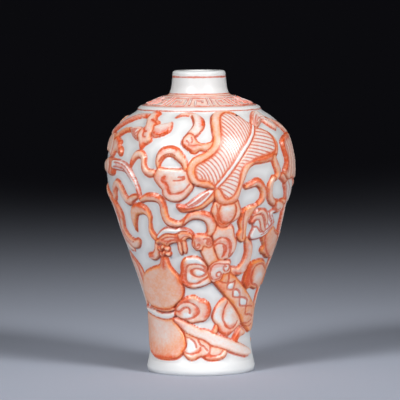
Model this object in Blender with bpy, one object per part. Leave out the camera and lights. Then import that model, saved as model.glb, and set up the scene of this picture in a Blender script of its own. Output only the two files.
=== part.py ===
"""A moulded porcelain snuff bottle: a tall-shouldered vase form, hollow, standing on its own foot ring.

The outside is a turned form. The emblems and looping ribbons of its relief are drawn on a chart as outlines: degrees
round the body from the front, and a height on a scale where the shoulder stands at CHART_SHOULDER. Each outline is
laid over the turned surface and pressed out along its normal. Positions are in metres, with +Z up and the front
facing -Y. Chart widths are in millimetres.
"""

import math

import bmesh
import bpy
import numpy as np
from mathutils import Vector
from mathutils.geometry import delaunay_2d_cdt

MM = 0.001

# Body, outside, without the relief.
FOOT_RADIUS = 14.45 * MM
FOOT_EDGE = 0.55 * MM  # rounding of the foot's bottom edge
FOOT_BAND = 3.3 * MM  # plain band that the relief stands on
WAIST_RADIUS = 13.15 * MM
WAIST_HEIGHT = 10.5 * MM
BELLY_RADIUS = 24.7 * MM
BELLY_HEIGHT = 54.0 * MM
SHOULDER_RADIUS = 16.4 * MM
SHOULDER_HEIGHT = 69.6 * MM
# Share of the way from one named place to the next, and share of the change in radius made there.
FOOT_TO_WAIST = ((0.22, 0.35), (0.45, 0.68), (0.7, 0.92))
WAIST_TO_BELLY = ((0.08, 0.02), (0.17, 0.095), (0.36, 0.315), (0.56, 0.593), (0.79, 0.868), (0.91, 0.967))
BELLY_TO_SHOULDER = ((0.26, 0.048), (0.51, 0.17), (0.705, 0.35), (0.865, 0.63), (0.96, 0.9))

# Top: rolled ledge, cone with the fret band, neck and lip.
LEDGE_RISE = 1.3 * MM
LEDGE_WIDTH = 1.55 * MM
CONE_TOP_RADIUS = 8.9 * MM
CONE_RISE = 2.45 * MM
NECK_RADIUS = 7.15 * MM
NECK_FLARE = 0.55 * MM  # height over which the cone turns up into the neck
LIP_RADIUS = 7.05 * MM
LIP_EDGE = 0.75 * MM
NECK_HEIGHT = 10.4 * MM  # from the shoulder to the top of the lip
HEIGHT = SHOULDER_HEIGHT + NECK_HEIGHT
MOUTH_RADIUS = 3.9 * MM

# Inside and underside.
WALL = 2.2 * MM
NECK_WALL_DEPTH = 7.2 * MM  # length of the straight bore below the lip
FLOOR = 4.6 * MM  # inner floor over the plane that the bottle stands on
FOOT_RING_WIDTH = 2.9 * MM
FOOT_RECESS = 1.5 * MM

# Relief.
GROUND_LIFT = 0.72 * MM
LEVEL_LIFT = 0.12 * MM  # each level of overlap stands this much higher
EDGE = 0.45 * MM  # how far in from its outline a motif reaches its full height
FRET_COUNT = 13
FRET_LIFT = 0.28 * MM
FRET_STROKE = 0.62 * MM
FRET_MARGIN = 0.75 * MM  # plain border below and above the fret on the cone

# Fineness of the solid.
SIDES = 48
OUTLINE_STEP = 2.2 * MM
FILL_STEP = 4.4 * MM
NEAREST = 0.42 * MM  # points nearer than this to a placed one are left out
PROFILE_SAMPLES = 900

GLAZE_COLOUR = (0.80, 0.56, 0.47, 1.0)
GLAZE_ROUGHNESS = 0.12

CHART_SHOULDER = 69.6


def station_curve(start, end, shares):
    """(height, radius) stations between two named places of the body."""
    return [tuple(a + (b - a) * share for a, b, share in zip(start, end, pair)) for pair in shares]


def smooth_path(points, closed, steps):
    """A Catmull-Rom curve through the points, with this many samples in each stretch."""
    points = np.asarray(points, float)
    if closed:
        around = [np.roll(points, shift, axis=0) for shift in (1, 0, -1, -2)]
    else:
        ends = np.vstack([2 * points[0] - points[1], points, 2 * points[-1] - points[-2]])
        around = [ends[:-3], ends[1:-2], ends[2:-1], ends[3:]]
    a, b, c, d = (part[:, None, :] for part in around)
    t = np.arange(steps)[None, :, None] / steps
    curve = 0.5 * (2 * b + (c - a) * t + (2 * a - 5 * b + 4 * c - d) * t**2 + (3 * b - a - 3 * c + d) * t**3)
    curve = curve.reshape(-1, points.shape[1])
    return curve if closed else np.vstack([curve, points[-1]])


class TurnedSurface:
    """A turned surface with its profile as (height, radius), charted so that shapes keep their angles.

    The second chart coordinate grows by path length over radius, so a small step in it and in the turning angle is
    the same length on the surface once it is multiplied by the radius.
    """

    def __init__(self, profile):
        profile = np.asarray(profile)
        self.height, self.radius = profile[:, 0], profile[:, 1]
        steps = np.hypot(np.diff(self.height), np.diff(self.radius))
        mean = (self.radius[1:] + self.radius[:-1]) / 2
        self.rise = np.concatenate([[0], np.cumsum(steps / mean)])
        slope_z, slope_r = np.gradient(self.height), np.gradient(self.radius)
        size = np.hypot(slope_z, slope_r)
        self.out_r, self.out_z = slope_z / size, -slope_r / size

    def at_height(self, height):
        return np.interp(height, self.height, self.rise)

    def radius_at(self, rise):
        return np.interp(rise, self.rise, self.radius)

    def place(self, chart, lift):
        """Points in space of chart points pressed out by these lifts."""
        turn, rise = chart[:, 0], chart[:, 1]
        radius = self.radius_at(rise) + lift * np.interp(rise, self.rise, self.out_r)
        height = np.interp(rise, self.rise, self.height) + lift * np.interp(rise, self.rise, self.out_z)
        return np.stack([radius * np.sin(turn), -radius * np.cos(turn), height], axis=1)


def body_surface():
    foot = (FOOT_BAND / 3, FOOT_RADIUS)
    waist, belly = (WAIST_HEIGHT, WAIST_RADIUS), (BELLY_HEIGHT, BELLY_RADIUS)
    shoulder = (SHOULDER_HEIGHT, SHOULDER_RADIUS)
    stations = [foot, *station_curve(foot, waist, FOOT_TO_WAIST), waist]
    stations += [*station_curve(waist, belly, WAIST_TO_BELLY), belly]
    stations += [*station_curve(belly, shoulder, BELLY_TO_SHOULDER), shoulder]
    curve = smooth_path(stations, False, PROFILE_SAMPLES // len(stations))
    return TurnedSurface(curve)


def cone_surface():
    low, high = cone_ends()
    return TurnedSurface(np.linspace(low, high, PROFILE_SAMPLES // 10))


def cone_ends():
    low = (SHOULDER_HEIGHT + LEDGE_RISE, SHOULDER_RADIUS - LEDGE_WIDTH)
    return low, (low[0] + CONE_RISE, CONE_TOP_RADIUS)


# The relief's motifs. Each is (level, outline on the chart), and later ones lie over earlier ones.


def chart_point(surface, degrees, height):
    return math.radians(degrees), surface.at_height(height / CHART_SHOULDER * SHOULDER_HEIGHT)


def patch(level, *points):
    """A closed shape through these chart points."""
    return level, lambda surface: smooth_path([chart_point(surface, *p) for p in points], True, 6)


def disc(level, degrees, height, radius):
    """A round boss, with its radius in millimetres."""

    def outline(surface):
        turn, rise = chart_point(surface, degrees, height)
        size = radius * MM / surface.radius_at(rise)
        angles = np.linspace(0, 2 * math.pi, 9)[:-1]
        return smooth_path(np.stack([turn + size * np.cos(angles), rise + size * np.sin(angles)], axis=1), True, 4)

    return level, outline


def ribbon(level, half_widths, *points):
    """A band along these chart points, with its half width in millimetres at each."""

    def outline(surface):
        places = np.array([chart_point(surface, *p) for p in points])
        sizes = np.array(half_widths) * MM / surface.radius_at(places[:, 1])
        path = smooth_path(np.column_stack([places, sizes]), False, 6)
        line, half = path[:, :2], path[:, 2:]
        along = np.gradient(line, axis=0)
        along /= np.linalg.norm(along, axis=1, keepdims=True)
        across = np.stack([-along[:, 1], along[:, 0]], axis=1) * half
        tips = [line[-1:] + along[-1:] * half[-1:], line[:1] - along[:1] * half[:1]]
        return np.vstack([line + across, tips[0], (line - across)[::-1], tips[1]])

    return level, outline


def spray(level, degrees, height, count, first, last, length, width):
    """Pointed petals fanned from one place, with lengths in millimetres and angles from straight up."""

    def petal(angle):
        def outline(surface):
            turn, rise = chart_point(surface, degrees, height)
            shape = [(0, 0), (-0.5 * width, 0.45 * length), (-0.35 * width, 0.8 * length), (0, length)]
            shape += [(-x, y) for x, y in shape[2:0:-1]]
            c, s = math.cos(angle), math.sin(angle)
            size = MM / surface.radius_at(rise)
            points = [(turn + (x * c + y * s) * size, rise + (y * c - x * s) * size) for x, y in shape]
            return smooth_path(points, True, 4)

        return level, outline

    return [petal(math.radians(first + (last - first) * i / (count - 1))) for i in range(count)]


def bar(level, half_width, start, end):
    """A straight rod between two chart points."""
    middle = tuple((a + b) / 2 for a, b in zip(start, end))
    return ribbon(level, (half_width,) * 3, start, middle, end)


# From the lowest layer to the highest, from the shoulder down.
RELIEF = [
    # Left shoulder.
    ribbon(1, (0.7, 0.8, 0.8, 0.75, 0.7), (-86, 63.5), (-74, 66.0), (-64, 67.5), (-54, 68.4), (-45, 68.5)),
    patch(1, (-86, 62.5), (-78, 63.7), (-71, 63.5), (-65, 62.7), (-59.5, 61.8), (-60, 60.9), (-57, 60.2),
        (-55.8, 59.3), (-56.5, 58.3), (-60, 58.4), (-64, 59.2), (-67, 58.2), (-71, 57.6), (-76, 58.6),
        (-84, 59.2)),
    ribbon(2, (0.5, 0.75, 0.7, 0.55), (-70, 62.6), (-65, 63.9), (-59, 64.9), (-54, 65.0)),
    patch(2, (-54.5, 65.2), (-50, 65.7), (-45, 65.7), (-42.5, 65.3), (-42.2, 64), (-43.2, 62.6),
        (-45.5, 62.7), (-49, 63.4), (-52.5, 64.3)),
    patch(1, (-33, 65.8), (-30.5, 65), (-29.5, 63.8), (-26.5, 63.6), (-23, 64.1), (-20.3, 64.9),
        (-19.6, 66.3), (-21, 67.2), (-23.5, 66.9), (-27, 66.7), (-30.5, 66.6)),
    patch(2, (-44, 69.2), (-40, 69.6), (-36, 69.2), (-36.8, 68.4), (-34.5, 67.6), (-31.2, 67.2),
        (-30.2, 66.3), (-33, 66.0), (-32.5, 65), (-33.5, 63.8), (-32.3, 62.5), (-34.5, 61.8), (-37, 61.2),
        (-39.3, 59.9), (-40.5, 60.4), (-42, 61.8), (-43.8, 63.3), (-43.5, 64.8), (-41.3, 66.2),
        (-43.5, 67.3)),
    # Left middle.
    patch(1, (-62.5, 57.2), (-61.5, 55.8), (-63, 54.4), (-64.5, 53.2), (-69, 52.9), (-76, 53.2), (-83, 54),
        (-84, 56), (-76, 57.4), (-69, 57.4)),
    ribbon(1, (0.25, 0.7, 0.95, 1.0, 0.9, 0.8, 0.95, 1.0, 0.9), (-46.6, 55.6), (-45.4, 57.2), (-42.6, 58.7),
        (-39.2, 59.0), (-36.7, 58.2), (-36.2, 56.6), (-35, 55.1), (-32, 54.2), (-28.6, 54.3)),
    ribbon(2, (1.3, 1.3, 1.15, 1.0, 0.8, 0.5), (-64, 55.9), (-57.5, 55.8), (-51, 55.2), (-45.5, 53),
        (-41.8, 50.3), (-40, 47.2)),
    ribbon(1, (0.9, 1.1, 1.15, 1.1, 1.1, 1.1, 0.9, 0.6), (-68, 47.2), (-65.5, 49.7), (-61, 50.9),
        (-57.5, 49.6), (-54.5, 47.4), (-51, 46.4), (-47, 47.3), (-43, 47.9)),
    ribbon(1, (0.9, 0.9, 1.0, 0.95, 1.0, 1.3, 1.4, 1.25, 0.9), (-84, 45.6), (-72, 45.3), (-67, 43.6),
        (-66.5, 41.4), (-69, 39.2), (-67, 36.9), (-61, 35.3), (-55.5, 35.0), (-51.8, 35.7)),
    ribbon(1, (0.6, 0.95, 1.1, 1.05, 0.85, 0.95, 1.05, 1.05, 0.75, 0.7, 0.35), (-39.5, 47), (-35, 47.7),
        (-30, 47.9), (-26, 47.3), (-24, 45.7), (-23.7, 43.6), (-22.5, 41.9), (-18.5, 41.0), (-14, 40.9),
        (-10.5, 41.6), (-7.5, 43.3)),
    ribbon(1, (0.15, 0.9, 1.45, 1.5, 1.25, 0.75, 0.45, 0.7, 0.9, 0.6), (-50.8, 38.4), (-50.3, 41.2),
        (-47.6, 43.8), (-43, 44.6), (-38.2, 44.3), (-35.4, 42.8), (-35.9, 41.0), (-36.6, 39.0), (-35, 37.5),
        (-33, 36.4)),
    # Blossom knot left of the fan.
    patch(1, (-25.5, 55.9), (-27, 54.6), (-28.5, 53.1), (-27.5, 52), (-25.5, 50.8), (-23.6, 50),
        (-23.5, 48.8), (-22, 47.8), (-20, 47.2), (-17, 46.8), (-13, 46.9), (-9.5, 47.7), (-6.5, 49),
        (-4.5, 50), (-3.7, 51), (-5, 53), (-6, 56), (-9.8, 55.5), (-16, 55.5), (-22, 55.6)),
    ribbon(2, (0.55, 0.9, 1.3, 1.35, 1.35, 1.2, 0.9, 0.75, 0.6), (-25.8, 56.0), (-25.4, 57.6), (-23, 59.4),
        (-19.5, 59.9), (-15.5, 59.7), (-12.4, 58.6), (-10.0, 57.4), (-8.9, 56.4), (-8.6, 55.5)),
    # Ruyi ribbon above the fan's left edge.
    ribbon(1, (0.25, 0.45, 0.6, 0.8, 1.3, 1.45, 1.35, 1.2, 0.95), (-19, 68.4), (-15, 68.9), (-10, 69.0),
        (-5, 68.8), (-1.2, 67.9), (-0.2, 66.6), (-2.2, 65.2), (-5.5, 64.0), (-8, 63.2)),
    patch(2, (-6.5, 64.2), (-9, 63.7), (-11.3, 62.5), (-10.8, 61.4), (-8.6, 60.6), (-6.4, 60.1), (-5, 59.5),
        (-2.8, 59.3), (-0.8, 59.8), (1, 60.1), (4, 59.8), (8, 60.5), (11, 62.5), (8.7, 63.2), (7.5, 62.3),
        (4, 61.9), (1, 61.9), (-1.5, 62.5), (-3.8, 63.7)),
    # Leaf under the fan.
    patch(1, (-14.4, 45.8), (-13.9, 44.8), (-12, 44.1), (-8, 44.1), (-4.5, 44.4), (-1, 44.7), (2.5, 45.2),
        (5, 46), (8, 47), (9.5, 48), (9.5, 49.5), (8.5, 50.1), (6, 49), (0, 47), (-6, 46)),
    patch(2, (-14.8, 46.1), (-10, 46.0), (-7, 46.6), (-4, 47.6), (0, 48.8), (4, 49.7), (8.4, 50.3),
        (8.6, 49.7), (6, 48.3), (3, 47), (0, 46), (-5.5, 45.3), (-10, 45.0), (-13.5, 45.0)),
    # Arch under the leaf.
    ribbon(1, (0.35, 0.75, 1.0, 1.15, 1.25, 1.35, 1.3, 1.2, 1.0, 0.7), (-10.5, 41.2), (-8, 42.3),
        (-5, 43.1), (-1.5, 43.3), (2, 43.1), (5.2, 42.5), (7.4, 41.2), (8.0, 39.8), (7.4, 38.6),
        (5.5, 38.0)),
    # Tassel ring under the fan.
    patch(1, (9.5, 46.9), (8, 45.6), (7.2, 44.2), (9.0, 42.8), (10.4, 41.6), (13, 40.2), (16, 39.9),
        (19, 40.2), (20.8, 41.0), (24, 41.7), (26.6, 42.6), (27.8, 43.8), (26.4, 45.2), (25.3, 46.2),
        (23.5, 47.3), (16, 47)),
    patch(2, (12.8, 46.4), (11.9, 44.6), (12.4, 43), (14, 41.6), (16.5, 41.0), (18, 41.5), (19.6, 42.3),
        (22.5, 42.6), (23.8, 43.4), (23.6, 44.7), (22.4, 45.9), (20.5, 46.7)),
    # Fan.
    patch(3, (8.4, 65.2), (8.4, 67), (9.6, 68.3), (12.5, 69.1), (18, 69.5), (25, 69.5), (30.5, 68.9),
        (34, 67.9), (37, 66.9), (39.7, 66.2), (42, 65.6), (46, 65.1), (50.5, 64.5), (54, 63.6),
        (56.5, 62.5), (57.7, 61.2), (57.3, 59.9), (56, 58.8), (54, 57.7), (50, 57.0), (45, 56.6),
        (40, 56.4), (35.5, 56.3), (32, 55.5), (29.5, 54), (28, 52.5), (26.6, 51), (25.7, 49.5), (25, 48.2),
        (23.5, 47.1), (20, 46.4), (15, 46.2), (11.5, 46.6), (9.2, 47.6), (8.7, 49), (8.4, 50), (5, 50.4),
        (1, 50.7), (-3, 51.2), (-5.6, 52.3), (-7.1, 54), (-7.4, 55.5), (-6.2, 57), (-4, 58.1), (-1, 58.8),
        (3, 59.5), (7, 60.8), (8.8, 62.5), (8.7, 64)),
    patch(2, (15, 66.7), (14.2, 65), (13.8, 63.5), (13.5, 62.2), (12.3, 61), (10, 59.6), (6.5, 58.4),
        (2, 57.2), (-1, 56.5), (-2.6, 55.6), (-2.6, 54), (-1, 52.8), (1, 52.4), (5, 52.3), (8, 51.4),
        (10.5, 50.7), (12.3, 50.1), (13.3, 49.3), (15, 48.1), (17, 47.7), (19.5, 48.1), (21.5, 49),
        (23, 50.5), (24, 52), (24.5, 53.5), (25.6, 55), (28, 56.1), (33, 57.1), (37, 57.7), (42, 58.1),
        (46, 58.4), (50, 58.8), (52.6, 59.3), (54, 60.3), (54, 61.3), (53.4, 62.3), (52, 63.3), (49, 64.3),
        (45, 64.9), (41.5, 65.4), (39.6, 65.9), (37, 66.6), (34, 67.5), (31, 68.2), (27, 68.6), (22, 68.8),
        (18, 68.3), (15.8, 67.5)),
    ribbon(3, (0.5, 0.55, 0.6, 0.6, 0.6, 0.6, 0.55, 0.45), (39.8, 65.8), (36.5, 63.9), (32, 61.8), (28, 60),
        (23, 57.4), (18, 54.8), (13, 52.3), (9.8, 50.9)),
    # Right of the fan.
    patch(1, (40, 66.3), (43, 67.4), (47, 68.3), (52, 69.0), (58, 69.4), (62, 69.3), (61.5, 68.4),
        (64, 67.2), (67, 65.6), (65.5, 64.5), (61, 64.9), (57, 65.9), (53.5, 66.8), (50, 66.4), (46, 65.7),
        (43, 65.4)),
    ribbon(1, (0.3, 0.7, 0.9, 1.0, 0.8), (61.5, 66.8), (67, 67.0), (74, 67.6), (83, 67.8), (94, 66.8)),
    patch(2, (63.6, 61.4), (66, 62.1), (73, 62.8), (82, 63.2), (91, 62.6), (98, 60.5), (101, 57),
        (97, 53.5), (88, 51.4), (78, 51.2), (70, 51.3), (65, 52.2), (61.8, 53.2), (61.3, 54.2),
        (63.6, 55.2), (65.6, 56.4), (64.8, 58), (63.8, 59.6)),
    patch(1, (56.6, 52.6), (59.5, 51.6), (63, 50.8), (64.2, 49.8), (67, 49.0), (72, 48.8), (78, 49.0),
        (86, 49.4), (88, 51.2), (78, 51.2), (70, 51.3), (65, 52.2), (60.5, 53.5)),
    ribbon(1, (1.0, 1.15, 1.15, 1.0, 0.85, 0.8), (51.8, 57.5), (53, 56.2), (54.8, 54.7), (55.6, 53.6),
        (54.5, 52.7), (51, 52.0)),
    ribbon(1, (0.8, 1.0, 1.05, 1.0, 0.95, 0.95, 0.95, 0.8), (50.5, 52.3), (48.6, 50.6), (48.6, 48.8),
        (50.4, 47.0), (54, 45.9), (59.5, 45.3), (66, 45.6), (76, 45.8)),
    ribbon(2, (0.75, 0.9, 1.05, 1.05, 1.0, 0.9, 0.75, 0.4), (29.4, 50.6), (33, 51.1), (37, 51.5),
        (41, 50.5), (43.2, 48.7), (42.6, 46.9), (40.2, 45.9), (37.5, 45.2)),
    patch(1, (28, 44.4), (30, 45), (33, 45.5), (36.5, 45.7), (39.2, 45.5), (38, 44.6), (36.8, 43.8),
        (35.6, 42.8), (34, 42), (33.6, 40.6), (33.9, 39.2), (34.3, 37.8), (35.2, 36.6), (33.5, 35.9),
        (31, 35.8), (28.8, 36.3), (27.2, 37.2), (26.8, 38.1), (28.2, 39.1), (27.2, 40.3), (26.3, 41.4),
        (27.4, 42.7), (27, 43.6)),
    # Castanet flower.
    patch(1, (37.2, 37.1), (38.6, 36.4), (41, 36.2), (45, 36.3), (49, 36.5), (53, 37.1), (57, 38.3),
        (61.5, 40), (60, 41.4), (57, 42.4), (54, 43.0), (50.5, 43.6), (47, 44.3), (42, 44.5), (38.5, 44.2),
        (36.4, 43.0), (36.2, 41.6), (38, 40.6), (39.2, 39.4), (38.4, 38.4)),
    ribbon(2, (0.7, 0.75, 0.75, 0.75, 0.8, 0.75), (38, 42.3), (41, 42.6), (44.6, 41.9), (47, 40.5),
        (49, 39.2), (51.4, 38.7)),
    # Blossom right of the sword pommel.
    patch(1, (10.6, 41.7), (13, 40.3), (16, 40.0), (19, 40.3), (21.6, 40.5), (23.6, 39.6), (24.7, 38.2),
        (25.7, 37.2), (27.1, 36.4), (27.7, 35), (27.1, 33.5), (25.3, 32.4), (22.5, 31.6), (18, 31.2),
        (14.5, 31.2), (12.6, 32.2), (11, 33.5), (9.4, 35), (9.4, 36.3), (8.2, 37.4), (8.6, 38.4),
        (10.4, 39.4), (10.9, 40.5)),
    # Garland above the gourd.
    patch(1, (-32, 37.6), (-28, 39.1), (-23.5, 39.9), (-18.5, 39.8), (-15, 39.7), (-11, 39.9), (-7, 39.4),
        (-4.5, 38.4), (-5, 37.8), (-8, 38.7), (-12, 39.0), (-15.5, 38.4), (-18, 38.1), (-24, 38.2),
        (-28, 37.4), (-31, 36.6)),
    patch(2, (-31.5, 36.8), (-28, 37.7), (-24, 38.4), (-18, 38.3), (-15.5, 38.6), (-12, 39.2), (-8, 38.9),
        (-5.2, 38.0), (-5.2, 36.6), (-7, 37.1), (-9, 37.1), (-11, 36.4), (-13, 35.8), (-18, 35.9),
        (-21.5, 35.6), (-24.5, 34.9), (-27, 35.2), (-30.5, 35.6), (-33, 35.4), (-34.2, 36.3)),
    ribbon(1, (0.6, 0.62, 0.6, 0.4), (-14.9, 36.1), (-14.9, 34.9), (-14.6, 33.7), (-14.3, 32.9)),
    ribbon(1, (0.55, 0.6, 0.6, 0.4), (-11.9, 36.2), (-11.6, 35.1), (-11.4, 34.0), (-11.5, 33.3)),
    patch(1, (-34.8, 35.9), (-36.2, 34.7), (-37.4, 33.6), (-40, 32.9), (-42.6, 32.8), (-44.6, 32.4),
        (-44.8, 31.8), (-43, 31.2), (-40, 30.9), (-37, 31.1), (-34.5, 31.6), (-32.6, 32.2), (-32.0, 33.6),
        (-32.6, 35.2)),
    # Gourd.
    patch(2, (-31, 15.6), (-27, 14.1), (-22.5, 12.6), (-19.2, 11), (-17, 9.6), (-16.1, 8.3), (-17, 7.1),
        (-19, 6.2), (-22, 5.3), (-26, 4.6), (-32, 4.15), (-40, 4.0), (-50, 4.05), (-60, 4.3), (-68, 5),
        (-75, 6.3), (-81, 8.2), (-85, 11), (-82, 14.2), (-74, 16.6), (-60, 17.2), (-42, 16.4)),
    patch(2, (-31.2, 32.6), (-33, 31.3), (-35.5, 29.8), (-42, 29.1), (-48, 28.5), (-53, 27.9), (-58, 27),
        (-62, 25.7), (-65.5, 23.8), (-67.8, 21.6), (-67.5, 19.9), (-62, 18.4), (-56, 17.8), (-50, 17.4),
        (-44, 17.3), (-38, 17.3), (-31, 17.8), (-26, 18.8), (-21, 19.9), (-17.5, 21), (-15.7, 22.5),
        (-15.5, 24.3), (-17, 26), (-19.5, 27.2), (-22.5, 28.3), (-25, 29.4), (-26, 30.6), (-27.3, 32.2)),
    ribbon(3, (0.75, 0.85, 0.85, 0.85, 0.85, 0.8, 0.7), (-76, 17.6), (-68, 16.9), (-58, 16.4), (-48, 15.9),
        (-40, 15.8), (-33, 16.0), (-28, 16.6)),
    ribbon(3, (0.35, 0.45, 0.45, 0.45, 0.45, 0.4), (-62, 18.1), (-54, 17.6), (-46, 17.3), (-39, 17.3),
        (-33, 17.5), (-28.5, 17.9)),
    disc(3, -30.6, 34.3, 0.8),
    disc(3, -27.9, 34.8, 0.8),
    disc(3, -25.2, 34.3, 0.8),
    disc(3, -30.2, 32.9, 0.8),
    disc(3, -27.4, 33.2, 0.8),
    disc(3, -24.9, 32.9, 0.8),
    # Sword.
    patch(2, (-0.6, 35.2), (-0.2, 33.9), (1.4, 32.5), (3.6, 31.0), (6.4, 29.6), (9, 28.6), (14, 29.4),
        (15.5, 30.8), (13.2, 32.1), (11.2, 33.6), (9.7, 35.2), (8.6, 36.6), (3, 37)),
    patch(2, (9.6, 25.7), (13, 24.6), (17, 23.3), (22, 21.8), (28, 20.2), (34, 18.6), (40, 17.0),
        (46, 15.1), (50, 13.9), (54, 12.8), (60, 11.9), (66, 10.9), (72, 10.6), (79, 11.4), (83, 13.2),
        (82, 15.4), (77, 17.1), (70, 18.6), (65, 19.4), (60, 20.3), (55, 21.2), (50, 22.3), (45, 23.4),
        (40, 24.6), (35, 25.9), (31, 27.0), (27, 28.4), (24.8, 29.4), (18, 28.5), (12, 27.5)),
    patch(3, (6.2, 28.2), (7, 29.5), (9, 30.4), (12, 31.0), (15, 31.3), (18.5, 31.2), (22, 31.1),
        (24.4, 31.0), (25.4, 30.3), (25.1, 29.3), (25.6, 28.5), (24, 27.8), (21, 27.6), (19.2, 27.6),
        (18.6, 26.7), (17.4, 26.0), (14, 25.7), (12, 25.3), (9.6, 25.4), (7.6, 26), (6.3, 27.1)),
    patch(3, (-5.7, 36), (-5.3, 37), (-4.5, 37.9), (-2, 38.3), (3, 38.2), (6.7, 37.9), (8.8, 37), (9.1, 36),
        (8, 35.2), (6, 34.9), (4, 35.2), (2.4, 35.2), (1.6, 34.4), (-0.5, 33.9), (-3, 33.9), (-5, 34.7),
        (-5.8, 35.4)),
    # Bow behind the sword hilt.
    patch(1, (6.4, 29.4), (4, 30.6), (1, 31.5), (-2, 32.1), (-5, 32.3), (-9, 32.1), (-12.5, 31.7),
        (-15, 30.8), (-16.5, 29.3), (-16.6, 28), (-18, 26.7), (-18.6, 26.0), (-17.2, 25.2), (-15, 24.3),
        (-11, 23.7), (-6, 23.5), (-1, 23.8), (4, 24.2), (7, 24.7), (10, 25.2), (8, 26.6), (6.6, 28)),
    # Bow and tail at the gourd's waist.
    patch(2, (-27.5, 17.2), (-26, 18.6), (-23, 19.6), (-19, 20.4), (-15, 21.0), (-10, 21.5), (-6, 21.6),
        (-3, 21.1), (0, 20.6), (3, 20.5), (6, 20.1), (9, 19.3), (10.6, 18), (10.4, 16.7), (8.6, 15.6),
        (5, 14.7), (0, 14.4), (-5, 14.2), (-10, 14.0), (-14, 14.4), (-20, 15.0), (-26, 15.7)),
    patch(1, (-20, 6.2), (-17, 5.0), (-12, 4.2), (-7, 4.2), (-3, 4.8), (0, 5.1), (3, 4.8), (6, 4.3),
        (12, 4.0), (20, 4.1), (25, 4.5), (28.4, 5.1), (30.4, 6.4), (24, 7.6), (14, 8.6), (7, 9.8),
        (-3, 10.8), (-12, 11.6), (-19, 11.8), (-17.6, 10), (-16.2, 8.3), (-17.3, 7.2)),
    patch(1, (12.4, 11.6), (14.8, 12.6), (16.2, 13.6), (18.6, 13.8), (20, 12.6), (19, 11.4), (15, 10.8)),
    patch(3, (-29.4, 15.6), (-20, 14.8), (-12, 14.0), (-6, 13.2), (0, 12.5), (5, 12.4), (9.5, 12.1),
        (14, 11.4), (20, 10.9), (28, 10.1), (36, 9.4), (44, 8.6), (52, 7.9), (60, 7.1), (66, 6.4),
        (68.5, 5.5), (66, 4.5), (58, 4.3), (50, 4.7), (42, 5.2), (35, 5.8), (31, 6.3), (26, 6.8), (18, 7.5),
        (11, 8.0), (7, 8.8), (2, 9.6), (-3, 10.0), (-10, 10.7), (-16, 11.4), (-21, 12.3), (-26, 13.6),
        (-30, 14.7)),
    # Cloth between bow and sword.
    patch(1, (27, 20.6), (24.4, 20.9), (21, 20.3), (18, 19.4), (15.6, 18.5), (14, 17.4), (12.7, 16.5),
        (12.3, 15.5), (13.5, 14.7), (15.5, 14), (18, 13.6), (19.5, 12.9), (19.6, 12.1), (22, 11.4),
        (26, 10.7), (30, 10.3), (34, 10.6), (38, 11.2), (42, 11.9), (47, 12.7), (50, 13.6), (46, 15.4),
        (40, 17.2), (34, 18.8)),
    patch(1, (38.5, 9.2), (40.6, 10.4), (44, 11.5), (48, 12.3), (50.5, 12.6), (53, 12.2), (58, 11.4),
        (62, 10.6), (58, 10.2), (53, 10.0), (49.5, 9.5), (47, 9.0), (45.4, 8.4)),
    # Right lower side.
    ribbon(1, (0.5, 1.1, 1.25, 1.3, 1.45, 1.5, 1.2, 0.9), (34.8, 36.6), (38.2, 35.0), (40.3, 33.2),
        (40.4, 31.3), (39.4, 29.6), (36.2, 28.2), (32, 27.9), (28, 28.4)),
    patch(1, (43.2, 29.6), (46, 30.0), (50, 30.4), (55, 30.6), (60, 30.5), (65, 30.1), (69, 29.6),
        (74, 28.6), (80, 27.6), (86, 26.8), (88, 24.6), (82, 23), (74, 22.6), (66, 22.3), (62, 22.5),
        (58, 22.8), (54, 23.1), (50.5, 22.6), (46, 23.5), (42.6, 24.5), (41.8, 25.6), (42.2, 27.4)),
    patch(1, (50.2, 36.9), (51.2, 35.8), (54.6, 34.6), (54.8, 34.1), (53.1, 33.7), (53.6, 32.8),
        (56.2, 32.1), (60, 31.8), (64, 31.1), (70, 30.6), (80, 30.4), (90, 30.8), (97, 32.4), (98, 35.2),
        (92, 37.2), (82, 37.6), (74, 37.6), (69, 38.2), (64, 39.0), (60.8, 39.8), (57, 38.5), (53, 37.4)),
    # Round the back: lotus with its leaf.
    ribbon(1, (0.8, 0.9, 0.8, 0.8), (118, 49), (123, 53), (124, 57), (126, 60)),
    patch(1, (104, 46), (108, 43.5), (114, 42.5), (121, 43), (126, 45.5), (128, 48), (123, 50), (115, 50.5),
        (108, 49.5)),
    *spray(2, 127, 59, 5, -100, 100, 6.4, 3.4),
    *spray(2, 127, 59, 3, -34, 34, 5.4, 3.0),
    disc(3, 127, 59.4, 1.3),
    # Flower basket with its handle.
    ribbon(1, (0.7, 0.75, 0.8, 0.8, 0.8, 0.75, 0.7), (163, 36), (162, 42), (167, 47), (176, 49), (185, 47),
        (190, 42), (189, 36)),
    *spray(1, 169, 37, 5, -80, 60, 5.2, 2.8),
    *spray(1, 183, 37, 5, -60, 80, 5.2, 2.8),
    *spray(2, 176, 38, 5, -70, 70, 6.0, 3.0),
    patch(2, (158, 37), (167, 36), (176, 35.6), (185, 36), (194, 37), (192, 32), (188, 27.5), (183, 25.6),
        (176, 25.2), (169, 25.6), (164, 27.5), (160, 32)),
    ribbon(3, (0.8, 0.9, 0.9, 0.8), (158, 36.6), (168, 35.4), (184, 35.4), (194, 36.6)),
    disc(3, 169, 38.6, 1.2),
    disc(3, 183, 38.6, 1.2),
    disc(3, 176, 40.2, 1.3),
    # Fish drum and its rods.
    bar(1, 0.6, (226, 62), (236, 68)),
    bar(1, 0.6, (232, 60), (243, 66)),
    bar(2, 2.6, (208, 48), (229, 61)),
    bar(3, 0.5, (212, 54), (218, 50.5)),
    bar(3, 0.5, (221, 59.5), (227, 55.5)),
    # Flute with its cord.
    ribbon(1, (0.5, 0.7, 0.7, 0.5, 0.5), (150, 14), (158, 18.5), (166, 16), (160, 11), (150, 14)),
    bar(2, 1.35, (116, 29), (186, 7.5)),
    # Ribbons and clouds between them.
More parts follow.
